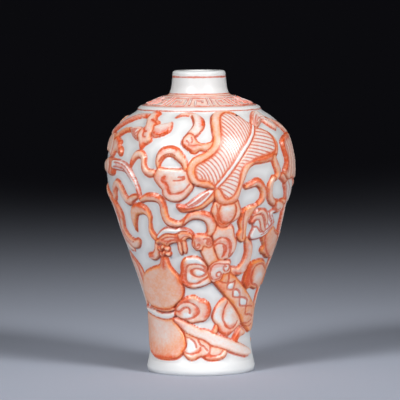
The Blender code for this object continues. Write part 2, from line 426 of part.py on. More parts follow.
    ribbon(1, (0.5, 0.9, 1.0, 1.0, 0.9, 0.5), (146, 66.5), (156, 67.5), (166, 64), (164, 59), (171, 56), (180, 58.5)),
    ribbon(1, (0.5, 1.0, 1.1, 1.0, 0.9, 0.5), (142, 53.5), (150, 56.5), (156, 53), (152, 48), (146, 44), (150, 39.5)),
    ribbon(1, (0.5, 0.9, 1.0, 1.0, 0.9, 0.5), (188, 66.5), (198, 68), (207, 65), (205, 60.5), (196, 58.5), (189, 61)),
    ribbon(1, (0.5, 1.0, 1.1, 1.1, 1.0, 0.6), (186, 54), (196, 55.5), (203, 52), (200, 46.5), (206, 42), (215, 43.5)),
    ribbon(1, (0.5, 0.9, 1.1, 1.0, 0.9, 0.6), (236, 57.5), (243, 60.5), (252, 59), (254, 54), (247, 51), (240, 48)),
    ribbon(1, (0.5, 1.0, 1.1, 1.0, 1.0, 0.5), (222, 47.5), (232, 48), (238, 44), (234, 39), (226, 37), (219, 39.5)),
    ribbon(1, (0.6, 1.1, 1.2, 1.1, 0.9, 0.5), (252, 41.5), (246, 38), (240, 33.5), (245, 29), (253, 30), (258, 33)),
    ribbon(1, (0.5, 1.0, 1.1, 1.0, 0.5), (108, 38.5), (116, 36), (124, 37.5), (132, 35), (140, 30)),
    ribbon(1, (0.5, 0.9, 1.0, 0.9, 0.5), (130, 40.5), (138, 42), (146, 34.5), (152, 31), (158, 24)),
    ribbon(1, (0.5, 1.0, 1.1, 1.0, 0.9, 0.5), (96, 24.5), (103, 28), (110, 24), (106, 19.5), (98, 17), (104, 13)),
    ribbon(1, (0.6, 1.1, 1.2, 1.0, 0.5), (112, 16), (122, 19), (132, 14.5), (124, 10), (114, 11)),
    ribbon(1, (0.5, 1.0, 1.1, 1.0, 0.5), (104, 8), (116, 5.6), (130, 7), (142, 9), (150, 6)),
    ribbon(1, (0.5, 1.0, 1.2, 1.1, 0.9, 0.5), (196, 29), (205, 33), (214, 30), (212, 25), (202, 22), (196, 18.5)),
    ribbon(1, (0.6, 1.1, 1.2, 1.0, 0.5), (220, 32), (228, 28), (226, 23), (218, 20), (212, 15.5)),
    ribbon(1, (0.6, 1.1, 1.2, 1.1, 0.5), (178, 20.5), (186, 17), (196, 13), (206, 11.5), (214, 8)),
    ribbon(1, (0.5, 1.0, 1.2, 1.0, 0.5), (236, 24.5), (246, 24), (252, 20), (244, 16), (232, 17)),
    ribbon(1, (0.6, 1.0, 1.1, 1.0, 0.6), (196, 6), (210, 4.9), (224, 6.5), (238, 9.5), (250, 8)),
    patch(2, (232, 12.5), (237, 14.5), (243, 13.5), (249, 14.5), (252, 12), (248, 10.2), (240, 9.6), (234, 10.4)),
    patch(2, (135, 24), (140, 27), (147, 27.5), (151, 24.5), (147, 21.5), (139, 21.4)),
    patch(2, (240, 64.5), (246, 67), (254, 67.5), (257, 65), (251, 63), (244, 62.6)),
    patch(2, (107, 57), (111, 60.5), (116, 58), (115, 54.5), (109, 53.6)),
    patch(2, (215, 36.5), (219, 35), (217, 33.6), (211, 34.2), (209, 36)),
]


def depth_inside(points, outline, surface):
    """Distance in metres from each chart point to the outline, positive inside it. The turn wraps round."""
    middle = (outline[:, 0].min() + outline[:, 0].max()) / 2
    turn = (points[:, 0] - middle + math.pi) % (2 * math.pi) - math.pi + middle
    here = np.stack([turn, points[:, 1]], axis=1)
    depth = np.full(len(points), -np.inf)
    reach = 3 * EDGE / surface.radius.min()
    near = ((here > outline.min(axis=0) - reach) & (here < outline.max(axis=0) + reach)).all(axis=1)
    here = here[near]
    start, end = outline, np.roll(outline, -1, axis=0)
    side = end - start
    from_start = here[:, None, :] - start[None]
    share = np.clip((from_start * side).sum(axis=2) / (side**2).sum(axis=1), 0, 1)
    distance = np.linalg.norm(from_start - share[:, :, None] * side, axis=2).min(axis=1)
    crosses = (start[:, 1] > here[:, 1:]) != (end[:, 1] > here[:, 1:])
    rise = np.where(side[:, 1] == 0, 1, side[:, 1])
    left = here[:, :1] < start[:, 0] + (here[:, 1:] - start[:, 1]) / rise * side[:, 0]
    inside = (crosses & left).sum(axis=1) % 2 == 1
    depth[near] = np.where(inside, distance, -distance) * surface.radius_at(here[:, 1])
    return depth


def relief_lift(points, outlines, levels, surface):
    """How far each chart point is pressed out: each motif in turn carries the surface up to its own level."""
    lift = np.zeros(len(points))
    for outline, level in zip(outlines, levels):
        share = np.clip(depth_inside(points, outline, surface) / EDGE, 0, 1)
        rounded = 1 - (1 - share) ** 2
        lift += (GROUND_LIFT + LEVEL_LIFT * level - lift) * rounded
    return lift


def resample(outline, surface):
    """The closed outline in steps of about OUTLINE_STEP on the surface."""
    closed = np.vstack([outline, outline[:1]])
    middle = surface.radius_at((closed[1:, 1] + closed[:-1, 1]) / 2)
    length = np.concatenate([[0], np.cumsum(np.linalg.norm(np.diff(closed, axis=0), axis=1) * middle)])
    count = max(5, round(length[-1] / OUTLINE_STEP))
    places = np.arange(count) * length[-1] / count
    return np.stack([np.interp(places, length, closed[:, axis]) for axis in (0, 1)], axis=1)


def inset(loop, surface, distance):
    """The loop moved inwards by a distance in metres."""
    along = np.roll(loop, -1, axis=0) - np.roll(loop, 1, axis=0)
    inward = np.stack([-along[:, 1], along[:, 0]], axis=1)
    inward /= np.linalg.norm(inward, axis=1, keepdims=True)
    x, y = loop[:, 0], loop[:, 1]
    turned_left = (x * np.roll(y, -1) - np.roll(x, -1) * y).sum() > 0
    size = (distance if turned_left else -distance) / surface.radius_at(y)
    return loop + inward * size[:, None]


class Network:
    """Chart points and the edges that the triangles must keep."""

    def __init__(self, surface):
        self.surface = surface
        self.points = np.empty((0, 2))
        self.edges = []

    def ring(self, rise):
        turns = np.arange(SIDES) * 2 * math.pi / SIDES
        first = len(self.points)
        self.points = np.vstack([self.points, np.stack([turns, np.full(SIDES, rise)], axis=1)])
        self.edges += [(first + i, first + (i + 1) % SIDES) for i in range(SIDES)]

    def add(self, point, nearest):
        """The new point's index, or None where another one is too near."""
        turn = (self.points[:, 0] - point[0] + math.pi) % (2 * math.pi) - math.pi
        gap = np.hypot(turn, self.points[:, 1] - point[1]) * self.surface.radius_at(point[1])
        if gap.min() < nearest:
            return None
        self.points = np.vstack([self.points, point])
        return len(self.points) - 1

    def line(self, points, wanted, closed=True):
        """Adds the wanted points, and an edge wherever two neighbours are both placed."""
        placed = [self.add(p, NEAREST) if keep else None for p, keep in zip(points, wanted)]
        pairs = zip(placed, placed[1:] + placed[:1] if closed else placed[1:])
        self.edges += [(a, b) for a, b in pairs if a is not None and b is not None and a != b]

    def triangles(self):
        """(chart points, faces). The chart is rolled into a ring, where a turn has no seam."""
        size = np.exp(self.points[:, 1])
        ring = [Vector((s * math.cos(t), s * math.sin(t))) for s, t in zip(size, self.points[:, 0])]
        made = delaunay_2d_cdt(ring, self.edges, [], 0, 1e-5)
        points = np.array([(math.atan2(v.y, v.x), math.log(v.length)) for v in made[0]])
        rim = points[:, 1] < self.points[:, 1].min() + 1e-4
        return points, [face for face in made[2] if not rim[face].all()]


def body_network(surface, outlines):
    """Points on every outline that shows, on its inset, and between them where the turned form needs them."""
    net = Network(surface)
    low, high = surface.at_height(FOOT_BAND), surface.rise[-1]
    net.ring(low)
    net.ring(high)

    def shows(points, index, margin):
        seen = (points[:, 1] > low) & (points[:, 1] < high)
        for later in outlines[index + 1 :]:
            seen &= depth_inside(points, later, surface) < margin
        return seen

    loops = [resample(outline, surface) for outline in outlines]
    for index in reversed(range(len(loops))):
        net.line(loops[index], shows(loops[index], index, 0.1 * MM))
    for index in reversed(range(len(loops))):
        loop = inset(loops[index], surface, EDGE)
        kept = shows(loop, index, -0.2 * MM) & (depth_inside(loop, outlines[index], surface) > 0.8 * EDGE)
        net.line(loop, kept)
    rise, row = low, 0
    while rise < high:
        radius = surface.radius_at(rise)
        count = round(2 * math.pi * radius / FILL_STEP)
        for i in range(count):
            net.add(np.array([(i + row % 2 / 2) * 2 * math.pi / count, rise]), 0.6 * FILL_STEP)
        rise += 0.87 * FILL_STEP / radius
        row += 1
    return net


def fret_path(index, low, high):
    """One square spiral of the fret band, as chart points."""
    unit = [(0.1, 0), (0.1, 1), (0.9, 1), (0.9, 0), (0.34, 0), (0.34, 0.64), (0.64, 0.64), (0.64, 0.36)]
    width = 2 * math.pi / FRET_COUNT
    return np.array([((index + across) * width, low + up * (high - low)) for across, up in unit])


def fret_sides(path, surface):
    """The two feet of the ridge along a path of straight stretches that meet square."""
    ways = np.sign(np.diff(path, axis=0))
    ways = np.vstack([ways[:1], ways, ways[-1:]])
    normals = np.stack([-ways[:, 1], ways[:, 0]], axis=1)
    corner = normals[:-1] + normals[1:]
    corner[[0, -1]] /= 2
    corner[0] -= ways[0]
    corner[-1] += ways[-1]
    half = (FRET_STROKE / 2 / surface.radius_at(path[:, 1]))[:, None]
    return path + corner * half, path - corner * half + 2 * half * np.vstack([-ways[:1], 0 * ways[2:-1], ways[-1:]])


def cone_network(surface):
    """The fret band's network, and the chart points of its crests."""
    net = Network(surface)
    radius = surface.radius_at(surface.rise[-1] / 2)
    margin = FRET_MARGIN / radius
    net.ring(0)
    net.ring(surface.rise[-1])
    crests = []
    for index in range(FRET_COUNT):
        path = fret_path(index, margin, surface.rise[-1] - margin)
        crests.append(path)
        for line in (path, *fret_sides(path, surface)):
            net.line(line, [True] * len(line), closed=False)
    return net, np.vstack(crests)


def add_skin(bm, surface, net, lift_at):
    points, faces = net.triangles()
    lift = lift_at(points)
    ends = net.points[:SIDES, 1].min(), net.points[:, 1].max()
    for end in ends:
        lift[np.abs(points[:, 1] - end) < 1e-4] = 0
    made = [bm.verts.new(p) for p in surface.place(points, lift)]
    for face in faces:
        bm.faces.new([made[i] for i in face])


def add_turned(bm, rows):
    """A turned skin through (radius, height) rows; a radius of 0 is a pole."""
    before = None
    for radius, height in rows:
        if radius == 0:
            ring = [bm.verts.new((0, 0, height))] * SIDES
        else:
            turns = [i * 2 * math.pi / SIDES for i in range(SIDES)]
            ring = [bm.verts.new((radius * math.sin(t), -radius * math.cos(t), height)) for t in turns]
        if before:
            for i in range(SIDES):
                j = (i + 1) % SIDES
                corners = dict.fromkeys([before[i], before[j], ring[j], ring[i]])
                bm.faces.new(list(corners))
        before = ring


def rounding(centre_radius, centre_height, size_r, size_z, first, last, steps):
    """Rows along an arc of a profile, from one angle to another in degrees, outwards at 0 and upwards at 90."""
    angles = [math.radians(first + (last - first) * i / steps) for i in range(steps + 1)]
    return [(centre_radius + size_r * math.cos(a), centre_height + size_z * math.sin(a)) for a in angles]


def foot_rows(surface):
    inner = FOOT_RADIUS - FOOT_RING_WIDTH
    flare = FOOT_BAND / 3
    rows = [(0, FOOT_RECESS), (inner - FOOT_RECESS, FOOT_RECESS), (inner - FOOT_EDGE, FOOT_RECESS / 3), (inner, 0)]
    rows += rounding(FOOT_RADIUS - FOOT_EDGE, FOOT_EDGE, FOOT_EDGE, FOOT_EDGE, -90, -20, 2)
    rows += [(np.interp(z, surface.height, surface.radius), z) for z in (flare, (flare + FOOT_BAND) / 2)]
    return rows + [(surface.radius_at(surface.at_height(FOOT_BAND)), FOOT_BAND)]


def ledge_rows():
    """The rolled ledge between the body and the cone."""
    low, _ = cone_ends()
    return rounding(low[1], SHOULDER_HEIGHT, LEDGE_WIDTH, LEDGE_RISE, 0, 90, 4)


def neck_rows():
    _, top = cone_ends()
    flare_top = top[0] + NECK_FLARE
    neck_foot = top[0] + 4 * NECK_FLARE
    rows = [(top[1], top[0]), ((top[1] + NECK_RADIUS) / 2, flare_top), (NECK_RADIUS + 0.25 * MM, neck_foot)]
    rows += [(NECK_RADIUS, (neck_foot + HEIGHT) / 2)]
    rows += rounding(LIP_RADIUS - LIP_EDGE, HEIGHT - LIP_EDGE, LIP_EDGE, LIP_EDGE, 0, 90, 3)
    rows += rounding(MOUTH_RADIUS + LIP_EDGE / 2, HEIGHT - LIP_EDGE / 2, LIP_EDGE / 2, LIP_EDGE / 2, 90, 180, 2)
    return rows


def inside_rows(surface):
    """The bore, then the wall's thickness in from the body, down to the floor."""
    heights = np.linspace(SHOULDER_HEIGHT, FLOOR + 2.5 * WALL, 12)
    radii = np.interp(heights, surface.height, surface.radius)
    out_r = np.interp(heights, surface.height, surface.out_r)
    out_z = np.interp(heights, surface.height, surface.out_z)
    wall = list(zip(radii - WALL * out_r, heights - WALL * out_z))
    floor_radius = wall[-1][0]
    corner = wall[-1][1] - FLOOR
    bottom = rounding(floor_radius - corner, FLOOR + corner, corner, corner, 0, -90, 3)[1:]
    bore_end = HEIGHT - NECK_WALL_DEPTH
    rows = [(MOUTH_RADIUS, bore_end), (MOUTH_RADIUS + WALL / 2, bore_end - WALL / 2)]
    return rows + [row for row in wall if row[0] > MOUTH_RADIUS + WALL] + bottom + [(0, FLOOR)]


def glaze():
    material = bpy.data.materials.new("Porcelain with iron-red enamel")
    material.use_nodes = True
    shader = material.node_tree.nodes["Principled BSDF"]
    shader.inputs["Base Color"].default_value = GLAZE_COLOUR
    shader.inputs["Roughness"].default_value = GLAZE_ROUGHNESS
    shader.inputs["Metallic"].default_value = 0.0
    return material


def bottle():
    body, cone = body_surface(), cone_surface()
    levels = [level for level, _ in RELIEF]
    outlines = [outline(body) for _, outline in RELIEF]
    bm = bmesh.new()
    add_turned(bm, foot_rows(body))
    add_skin(bm, body, body_network(body, outlines), lambda p: relief_lift(p, outlines, levels, body))
    add_turned(bm, ledge_rows())
    net, crests = cone_network(cone)

    def fret_lift(points):
        turn = points[:, None, 0] - crests[None, :, 0]
        turn = (turn + math.pi) % (2 * math.pi) - math.pi
        gap = np.hypot(turn, points[:, None, 1] - crests[None, :, 1]).min(axis=1)
        return np.where(gap < 1e-3, FRET_LIFT, 0.0)

    add_skin(bm, cone, net, fret_lift)
    add_turned(bm, neck_rows() + inside_rows(body))
    bmesh.ops.remove_doubles(bm, verts=bm.verts, dist=2e-6)
    bmesh.ops.recalc_face_normals(bm, faces=bm.faces)
    mesh = bpy.data.meshes.new("bottle")
    bm.to_mesh(mesh)
    bm.free()
    mesh.materials.append(glaze())
    thing = bpy.data.objects.new("bottle", mesh)
    bpy.context.scene.collection.objects.link(thing)
    return thing


def main():
    for thing in list(bpy.data.objects):
        bpy.data.objects.remove(thing, do_unlink=True)
    bottle()


main()
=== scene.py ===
"""The looks of a moulded porcelain snuff bottle: white glaze, with iron-red enamel brushed over its relief.

The relief is drawn on a chart of the turned body: degrees round it from the front, and a height on a scale
where the shoulder stands at CHART_SHOULDER. Widths are in millimetres. Every motif has a level, which is
how far it rises, and a tone, which is how much red wash its top carries. Later motifs lie over earlier ones.
Fine red lines and brush strokes belong to the motifs of their name.
"""

import math
from functools import partial

import bpy
import numpy as np
from bpy.props import FloatProperty, FloatVectorProperty, IntProperty, PointerProperty
from mathutils import Matrix, Vector


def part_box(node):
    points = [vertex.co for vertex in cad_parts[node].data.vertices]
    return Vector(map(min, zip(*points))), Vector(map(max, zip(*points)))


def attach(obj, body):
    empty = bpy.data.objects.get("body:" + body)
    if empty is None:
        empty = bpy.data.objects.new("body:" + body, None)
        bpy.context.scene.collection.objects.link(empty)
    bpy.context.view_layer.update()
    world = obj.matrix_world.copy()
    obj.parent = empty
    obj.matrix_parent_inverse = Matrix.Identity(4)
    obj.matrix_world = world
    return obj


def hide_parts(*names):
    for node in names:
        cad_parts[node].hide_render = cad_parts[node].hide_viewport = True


bl_info = {
    "name": "Snuff Bottle",
    "version": (1, 0, 0),
    "blender": (4, 5, 0),
    "location": "View3D > Sidebar > Snuff Bottle",
    "description": "Moulded porcelain snuff bottle with iron-red enamel over its relief",
    "category": "Object",
}

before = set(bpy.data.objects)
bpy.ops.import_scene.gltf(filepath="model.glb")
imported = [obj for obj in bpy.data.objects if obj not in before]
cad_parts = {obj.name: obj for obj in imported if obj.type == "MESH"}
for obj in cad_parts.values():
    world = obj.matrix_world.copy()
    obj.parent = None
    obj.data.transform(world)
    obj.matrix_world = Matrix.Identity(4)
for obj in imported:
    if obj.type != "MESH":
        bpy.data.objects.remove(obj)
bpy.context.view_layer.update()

MM = 0.001
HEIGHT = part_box("bottle")[1][2]
SCALE = HEIGHT / (80 * MM)  # the sizes below are those of an 80 mm bottle, as the CAD has them

# Body, outside, without the relief.
FOOT_RADIUS = 14.45 * MM * SCALE
FOOT_EDGE = 0.55 * MM * SCALE
FOOT_BAND = 3.3 * MM * SCALE
WAIST_RADIUS = 13.15 * MM * SCALE
WAIST_HEIGHT = 10.5 * MM * SCALE
BELLY_RADIUS = 24.7 * MM * SCALE
BELLY_HEIGHT = 54.0 * MM * SCALE
SHOULDER_RADIUS = 16.4 * MM * SCALE
SHOULDER_HEIGHT = 69.6 * MM * SCALE
FOOT_TO_WAIST = ((0.22, 0.35), (0.45, 0.68), (0.7, 0.92))
WAIST_TO_BELLY = ((0.08, 0.02), (0.17, 0.095), (0.36, 0.315), (0.56, 0.593), (0.79, 0.868), (0.91, 0.967))
BELLY_TO_SHOULDER = ((0.26, 0.048), (0.51, 0.17), (0.705, 0.35), (0.865, 0.63), (0.96, 0.9))

# Top, inside and underside.
LEDGE_RISE = 1.3 * MM * SCALE
LEDGE_WIDTH = 1.55 * MM * SCALE
CONE_TOP_RADIUS = 8.9 * MM * SCALE
CONE_RISE = 2.45 * MM * SCALE
NECK_RADIUS = 7.15 * MM * SCALE
NECK_FLARE = 0.55 * MM * SCALE
NECK_SWELL = 0.25 * MM * SCALE  # how much wider the neck's foot is than its middle, in radius
LIP_RADIUS = 7.05 * MM * SCALE
LIP_EDGE = 0.75 * MM * SCALE
MOUTH_RADIUS = 3.9 * MM * SCALE
WALL = 2.2 * MM * SCALE
NECK_WALL_DEPTH = 7.2 * MM * SCALE
FLOOR = 4.6 * MM * SCALE
FOOT_RING_WIDTH = 2.9 * MM * SCALE
FOOT_RECESS = 1.5 * MM * SCALE

# One fret unit, as (share across, share up) corners of its path from the left foot to the spiral's heart.
FRET_TURNS = ((0.1, 0), (0.1, 1), (0.9, 1), (0.9, 0), (0.34, 0), (0.34, 0.64), (0.64, 0.64), (0.64, 0.36))

CHART_SHOULDER = 69.6
GROUND_LIFT = 0.6  # millimetres, as are the relief's other sizes
LEVEL_LIFT = 0.12
EDGE = 0.44
LINE_GROOVE, LINE_GROOVE_WIDTH = 0.13, 0.16
RIM_GROOVE, RIM_GROOVE_WIDTH = 0.1, 0.22
FAR = 9.0  # a distance past which no line shows
TINY_SQUARE = 1e-18  # added to a stretch's squared length, so that a dab of one point has a length too
RELIEF_REACH, LINE_REACH = 2.5, 1.5  # how far off a motif and a line are still measured
STROKE_REACH = 3  # the same for a stroke, in times its radius

# Close ribs are traced at this many places along their rails and a little past the ends.
RIB_PLACES, RIB_MARGIN = 200, 0.06
RIB_ROUNDS, RIB_NUDGE = 3, 0.01  # rounds of setting a place's share right, and the most that one moves it

# The grid that the relief is pressed into: finer in front, where most of the drawing is.
FRONT_HALF = 94.0  # degrees
FRONT_COLUMNS = 252
BACK_COLUMNS = 112
ROW_STEP = 0.385  # millimetres, as are the steps of the plain parts
FOOT_STEP, LEDGE_STEP, CONE_STEP, NECK_STEP, LIP_STEP, INSIDE_STEP = 1.54, 0.4, 1.2, 0.7, 0.3, 3.0
INSIDE_EVERY = 4  # one column in this many goes on to the inside
POLE_RADIUS = 0.001 * MM  # within this of the axis a ring is one vertex
DRAWN_IN, DRAWN_OUT = 0.62, 0.38  # shares of a cell from which a vertex inside or outside moves onto an edge

# Painted rings, as the radius or height that each lies at and its half width, in millimetres.
LEDGE_RINGS = ((69.85, 0.12), (15.1, 0.1))
CONE_RINGS = ((71.05, 0.06), (73.1, 0.06))
NECK_RINGS = ((73.5, 0.08), (73.95, 0.08), (78.5, 0.16))
NECK_WASH_TOP = 74.0 * MM * SCALE
LEDGE_WASH, CONE_WASH, FRET_WASH = 0.05, 0.42, 0.05
RING_FADE, RING_GAP = 0.2, 0.02  # how far outside a painted ring a row stands, and the least gap of rows
SPECK, SPECK_LEVEL = (30.6, 68.1), 3  # on the chart, and on the fan's level
SPECK_RADIUS, SPECK_EDGE = 0.3, 0.12

FRAME_WIDTH = 36.0  # of the camera, in millimetres
CLIP_END = 100.0

# Soft boxes: name, place, what they face, sides, spread in degrees, watts and colour. Lengths are in metres.
WORLD_COLOUR = "151416"
LIGHTS = (
    ("soft box left", (-0.5, -0.78, 0.46), (0, -0.165, 0.0), (0.53, 0.53), 26.5, 0.68, "FFFFFF"),
    ("soft box right", (0.55, -0.74, 0.44), (0, -0.165, 0.0), (0.53, 0.53), 26.5, 0.74, "FFFFFF"),
    ("soft box above", (0.0, -0.16, 0.6), (0, -0.1, 0.0), (0.4, 0.3), 40.0, 0.04, "F4F7FF"),
)

# Tones, from bare glaze to the deepest wash.
WHITE, THIN, PALE, ROSE, TAN, DEEP = 0.05, 0.22, 0.44, 0.54, 0.62, 0.72

MOTIFS, LINES, STROKES, RIBS = [], [], [], []


def patch(name, level, tone, *points):
    """A closed shape through these chart points."""
    MOTIFS.append({"name": name, "level": level, "tone": tone, "points": points})


def ribbon(name, level, tone, half_widths, *points):
    """A band along these chart points, with its half width in millimetres at each."""
    MOTIFS.append({"name": name, "level": level, "tone": tone, "points": points, "half_widths": half_widths})


def disc(name, level, tone, radius, *centres):
    """Round bosses, with their radius in millimetres."""
    for centre in centres:
        MOTIFS.append({"name": name, "level": level, "tone": tone, "points": centre, "radius": radius})


def spray(name, level, tone, centre, count, first, last, length, width):
    """Pointed petals fanned from one place, with lengths in millimetres and angles from straight up."""
    shape = [(0, 0), (-0.5 * width, 0.45 * length), (-0.35 * width, 0.8 * length), (0, length)]
    shape += [(-x, y) for x, y in shape[2:0:-1]]
    for i in range(count):
        angle = math.radians(first + (last - first) * i / (count - 1))
        c, s = math.cos(angle), math.sin(angle)
        turned = [(x * c + y * s, y * c - x * s) for x, y in shape]
        MOTIFS.append({"name": name, "level": level, "tone": tone, "points": centre, "shape": turned})


def bar(name, level, tone, half_width, start, end):
    """A straight rod between two chart points."""
    middle = tuple((a + b) / 2 for a, b in zip(start, end))
    ribbon(name, level, tone, (half_width,) * 3, start, middle, end)


def lines(name, half_width, *paths):
    """Fine red lines on the motif of this name."""
    for points in paths:
        LINES.append({"name": name, "points": points, "half_width": half_width})


def strokes(name, *rows):
    """Soft strokes on the motif of this name, as (strength, radius, points) rows.

    They are deep orange, or bare glaze where the strength is below 0.
    """
    for strength, radius, *points in rows:
        STROKES.append({"name": name, "strength": strength, "radius": radius, "points": points})


def between(rail, count):
    """This many places evenly along a rail of points."""
    rail = np.array(rail)
    places = np.linspace(0, len(rail) - 1, count)
    return [tuple(np.interp(p, range(len(rail)), rail[:, axis]) for axis in (0, 1)) for p in places]


def veins(name, rail_a, rail_b, count, bow, half_width):
    """Fine lines from one rail to the other, bowed by this much in the middle."""
    for a, b in zip(between(rail_a, count), between(rail_b, count)):
        middle = ((a[0] + b[0]) / 2 + bow[0], (a[1] + b[1]) / 2 + bow[1])
        lines(name, half_width, [a, middle, b])


def ribs(name, count, bow, rail_a, rail_b):
    """Close red lines from rail to rail, bowed in millimetres, too many for the grid to hold each one."""
    RIBS.append({"name": name, "count": count, "bow": bow, "rails": (rail_a, rail_b)})


# The drawing, from the shoulder down in front and then round the back.

# Left shoulder.
ribbon("shoulder_streamer", 1, THIN, (0.8, 1.15, 1.2, 1.05, 0.8), (-86, 63.6), (-74, 66.2), (-64, 67.7),
    (-54, 68.5), (-45, 68.5))
lines("shoulder_streamer", 0.08, [(-82, 64.4), (-70, 66.8), (-58, 68.3), (-48, 68.6)])
lines("shoulder_streamer", 0.06, [(-80, 65.9), (-70, 67.6), (-60, 68.7), (-50, 69.1)])
strokes("shoulder_streamer",
    (0.6, 0.6, (-82, 63.8), (-72, 66), (-62, 67.4), (-54, 68)),
    (1, 0.8, (-47.5, 68.2), (-44.5, 68)))
patch("thorn_leaf", 1, PALE, (-86, 62.5), (-78, 63.7), (-71, 63.5), (-65, 62.7), (-59.5, 61.8), (-60, 60.9),
    (-57, 60.2), (-55.8, 59.3), (-56.5, 58.3), (-60, 58.4), (-64, 59.2), (-67, 58.2), (-71, 57.6),
    (-76, 58.6), (-84, 59.2))
lines("thorn_leaf", 0.1,
    [(-74, 63.4), (-70, 61.8), (-68.4, 60), (-70, 58.2)],
    [(-79, 63.3), (-75, 61.6), (-74, 59.6)],
    [(-84, 62.4), (-80, 61), (-79.5, 59.4)])
strokes("thorn_leaf", (1, 0.8, (-68, 63), (-62, 61.8), (-60, 60.6), (-58, 59)))
ribbon("bell_handle", 2, ROSE, (0.5, 0.75, 0.7, 0.55), (-70, 62.6), (-65, 63.9), (-59, 64.9), (-54, 65))
strokes("bell_handle", (0.6, 0.4, (-64, 63.3), (-59, 64.3), (-55, 64.4)))
patch("ribbed_bell", 2, THIN, (-54.5, 65.2), (-50, 65.7), (-45, 65.7), (-42.5, 65.3), (-42.2, 64),
    (-43.2, 62.6), (-45.5, 62.7), (-49, 63.4), (-52.5, 64.3))
veins("ribbed_bell", [(-52.6, 64.9)] * 2, [(-43.8, 65.2), (-43.4, 64.3), (-43.6, 63.4), (-45, 62.95)], 5,
    (0, 0.05), 0.02)
patch("lotus_cup", 1, THIN, (-35.5, 66.4), (-34.5, 64.8), (-31.5, 63.4), (-26.5, 63.6), (-23, 64.1),
    (-20.3, 64.9), (-19.6, 66.3), (-21, 67.2), (-23.5, 66.9), (-27, 66.7), (-30.5, 66.6))
strokes("lotus_cup",
    (1, 0.8, (-31, 64.2), (-27, 64), (-23.5, 64.3), (-21, 64.9)),
    (0.12, 0.9, (-30, 65.2), (-25, 65.2), (-21.4, 66)))
patch("leaf_spray", 2, PALE, (-44, 69.2), (-40, 69.6), (-36, 69.2), (-36.8, 68.4), (-34.5, 67.6),
    (-31.2, 67.2), (-30.2, 66.3), (-33, 66), (-32.5, 65), (-33.5, 63.8), (-32.3, 62.5), (-34.5, 61.8),
    (-37, 61.2), (-39.3, 59.9), (-40.5, 60.4), (-42, 61.8), (-43.8, 63.3), (-43.5, 64.8), (-41.3, 66.2),
    (-43.5, 67.3))
lines("leaf_spray", 0.12,
    [(-41.2, 65.9), (-40, 64.9), (-37.5, 64.5)],
    [(-39.6, 64.1), (-38.8, 63.3), (-36.9, 63.2)],
    [(-38, 67.3), (-34, 66.9), (-31.4, 66.3)])
strokes("leaf_spray",
    (1, 0.6, (-40, 69.2), (-37, 68.8)),
    (1, 0.55, (-37, 67.2), (-33.5, 66.8), (-31, 66.4)),
    (0.9, 0.5, (-40.6, 65.6), (-39.5, 64.7), (-37.5, 64.5)),
    (0.8, 0.45, (-39.2, 63.6), (-37.6, 63.2)),
    (1, 0.7, (-40.2, 61), (-38.5, 60.7), (-37, 61.4)))

# Left middle.
patch("dark_leaf", 1, PALE, (-62.5, 57.2), (-61.5, 55.8), (-63, 54.4), (-64.5, 53.2), (-69, 52.9),
    (-76, 53.2), (-83, 54), (-84, 56), (-76, 57.4), (-69, 57.4))
lines("dark_leaf", 0.12,
    [(-67, 57), (-65.6, 55.4), (-68, 53.6)],
    [(-72, 57.2), (-71, 55.4), (-73, 53.2)],
    [(-78, 57), (-77, 55.2), (-79, 53.6)])
strokes("dark_leaf",
    (1, 0.8, (-64, 57), (-63.4, 55.4), (-65.6, 53.6)),
    (0.8, 0.6, (-69, 56.6), (-69, 55), (-70.4, 53.6)))
ribbon("small_hook", 1, PALE, (0.25, 0.7, 0.95, 1, 0.9, 0.8, 0.95, 1, 0.9), (-46.6, 55.6), (-45.4, 57.2),
    (-42.6, 58.7), (-39.2, 59), (-36.7, 58.2), (-36.2, 56.6), (-35, 55.1), (-32, 54.2), (-28.6, 54.3))
strokes("small_hook",
    (1, 0.5, (-46.5, 56), (-45.2, 57.2)),
    (0.8, 0.6, (-37.6, 56), (-35.6, 54.2), (-32, 53.4)))
ribbon("bulrush", 2, WHITE, (1.3, 1.3, 1.15, 1, 0.8, 0.5), (-64, 55.9), (-57.5, 55.8), (-51, 55.2),
    (-45.5, 53), (-41.8, 50.3), (-40, 47.2))
lines("bulrush", 0.12,
    [(-63, 56.4), (-57, 56.3), (-50.5, 55.6), (-45, 53.4), (-41.2, 50.6), (-39.9, 48)],
    [(-63, 55.3), (-57.5, 55.3), (-51.5, 54.7), (-46.5, 52.5), (-42.6, 49.9), (-40.6, 47.8)])
strokes("bulrush",
    (1, 0.55, (-41.2, 49.5), (-40.2, 47.4)),
    (0.5, 0.5, (-60, 55.8), (-52, 55.2), (-46, 52.9)))
ribbon("side_curl", 1, PALE, (0.9, 1.1, 1.15, 1.1, 1.1, 1.1, 0.9, 0.6), (-68, 47.2), (-65.5, 49.7),
    (-61, 50.9), (-57.5, 49.6), (-54.5, 47.4), (-51, 46.4), (-47, 47.3), (-43, 47.9))
strokes("side_curl", (0.7, 0.6, (-66, 48.8), (-62, 49.8)), (0.8, 0.6, (-53, 45.9), (-50, 45.8)))
ribbon("edge_ribbon", 1, PALE, (0.4, 0.9, 1.1, 1.2, 1.15, 1.2, 1.45, 1.5, 1.3, 0.9), (-104, 50.4),
    (-90, 48.6), (-76, 46.4), (-67, 43.6), (-66.5, 41.4), (-69, 39.2), (-67, 36.9), (-61, 35.3),
    (-55.5, 35), (-51.8, 35.7))
lines("edge_ribbon", 0.12,
    [(-82, 47.2), (-74, 46.2), (-69, 43.8), (-68.6, 41.2), (-71, 39)],
    [(-69, 38.6), (-66, 37), (-61, 35.6), (-57, 35.6)])
strokes("edge_ribbon",
    (0.9, 0.5, (-74, 46.6), (-68, 44.6), (-65.6, 42)),
    (0.6, 0.6, (-72, 39), (-67, 36), (-62, 34.6)))
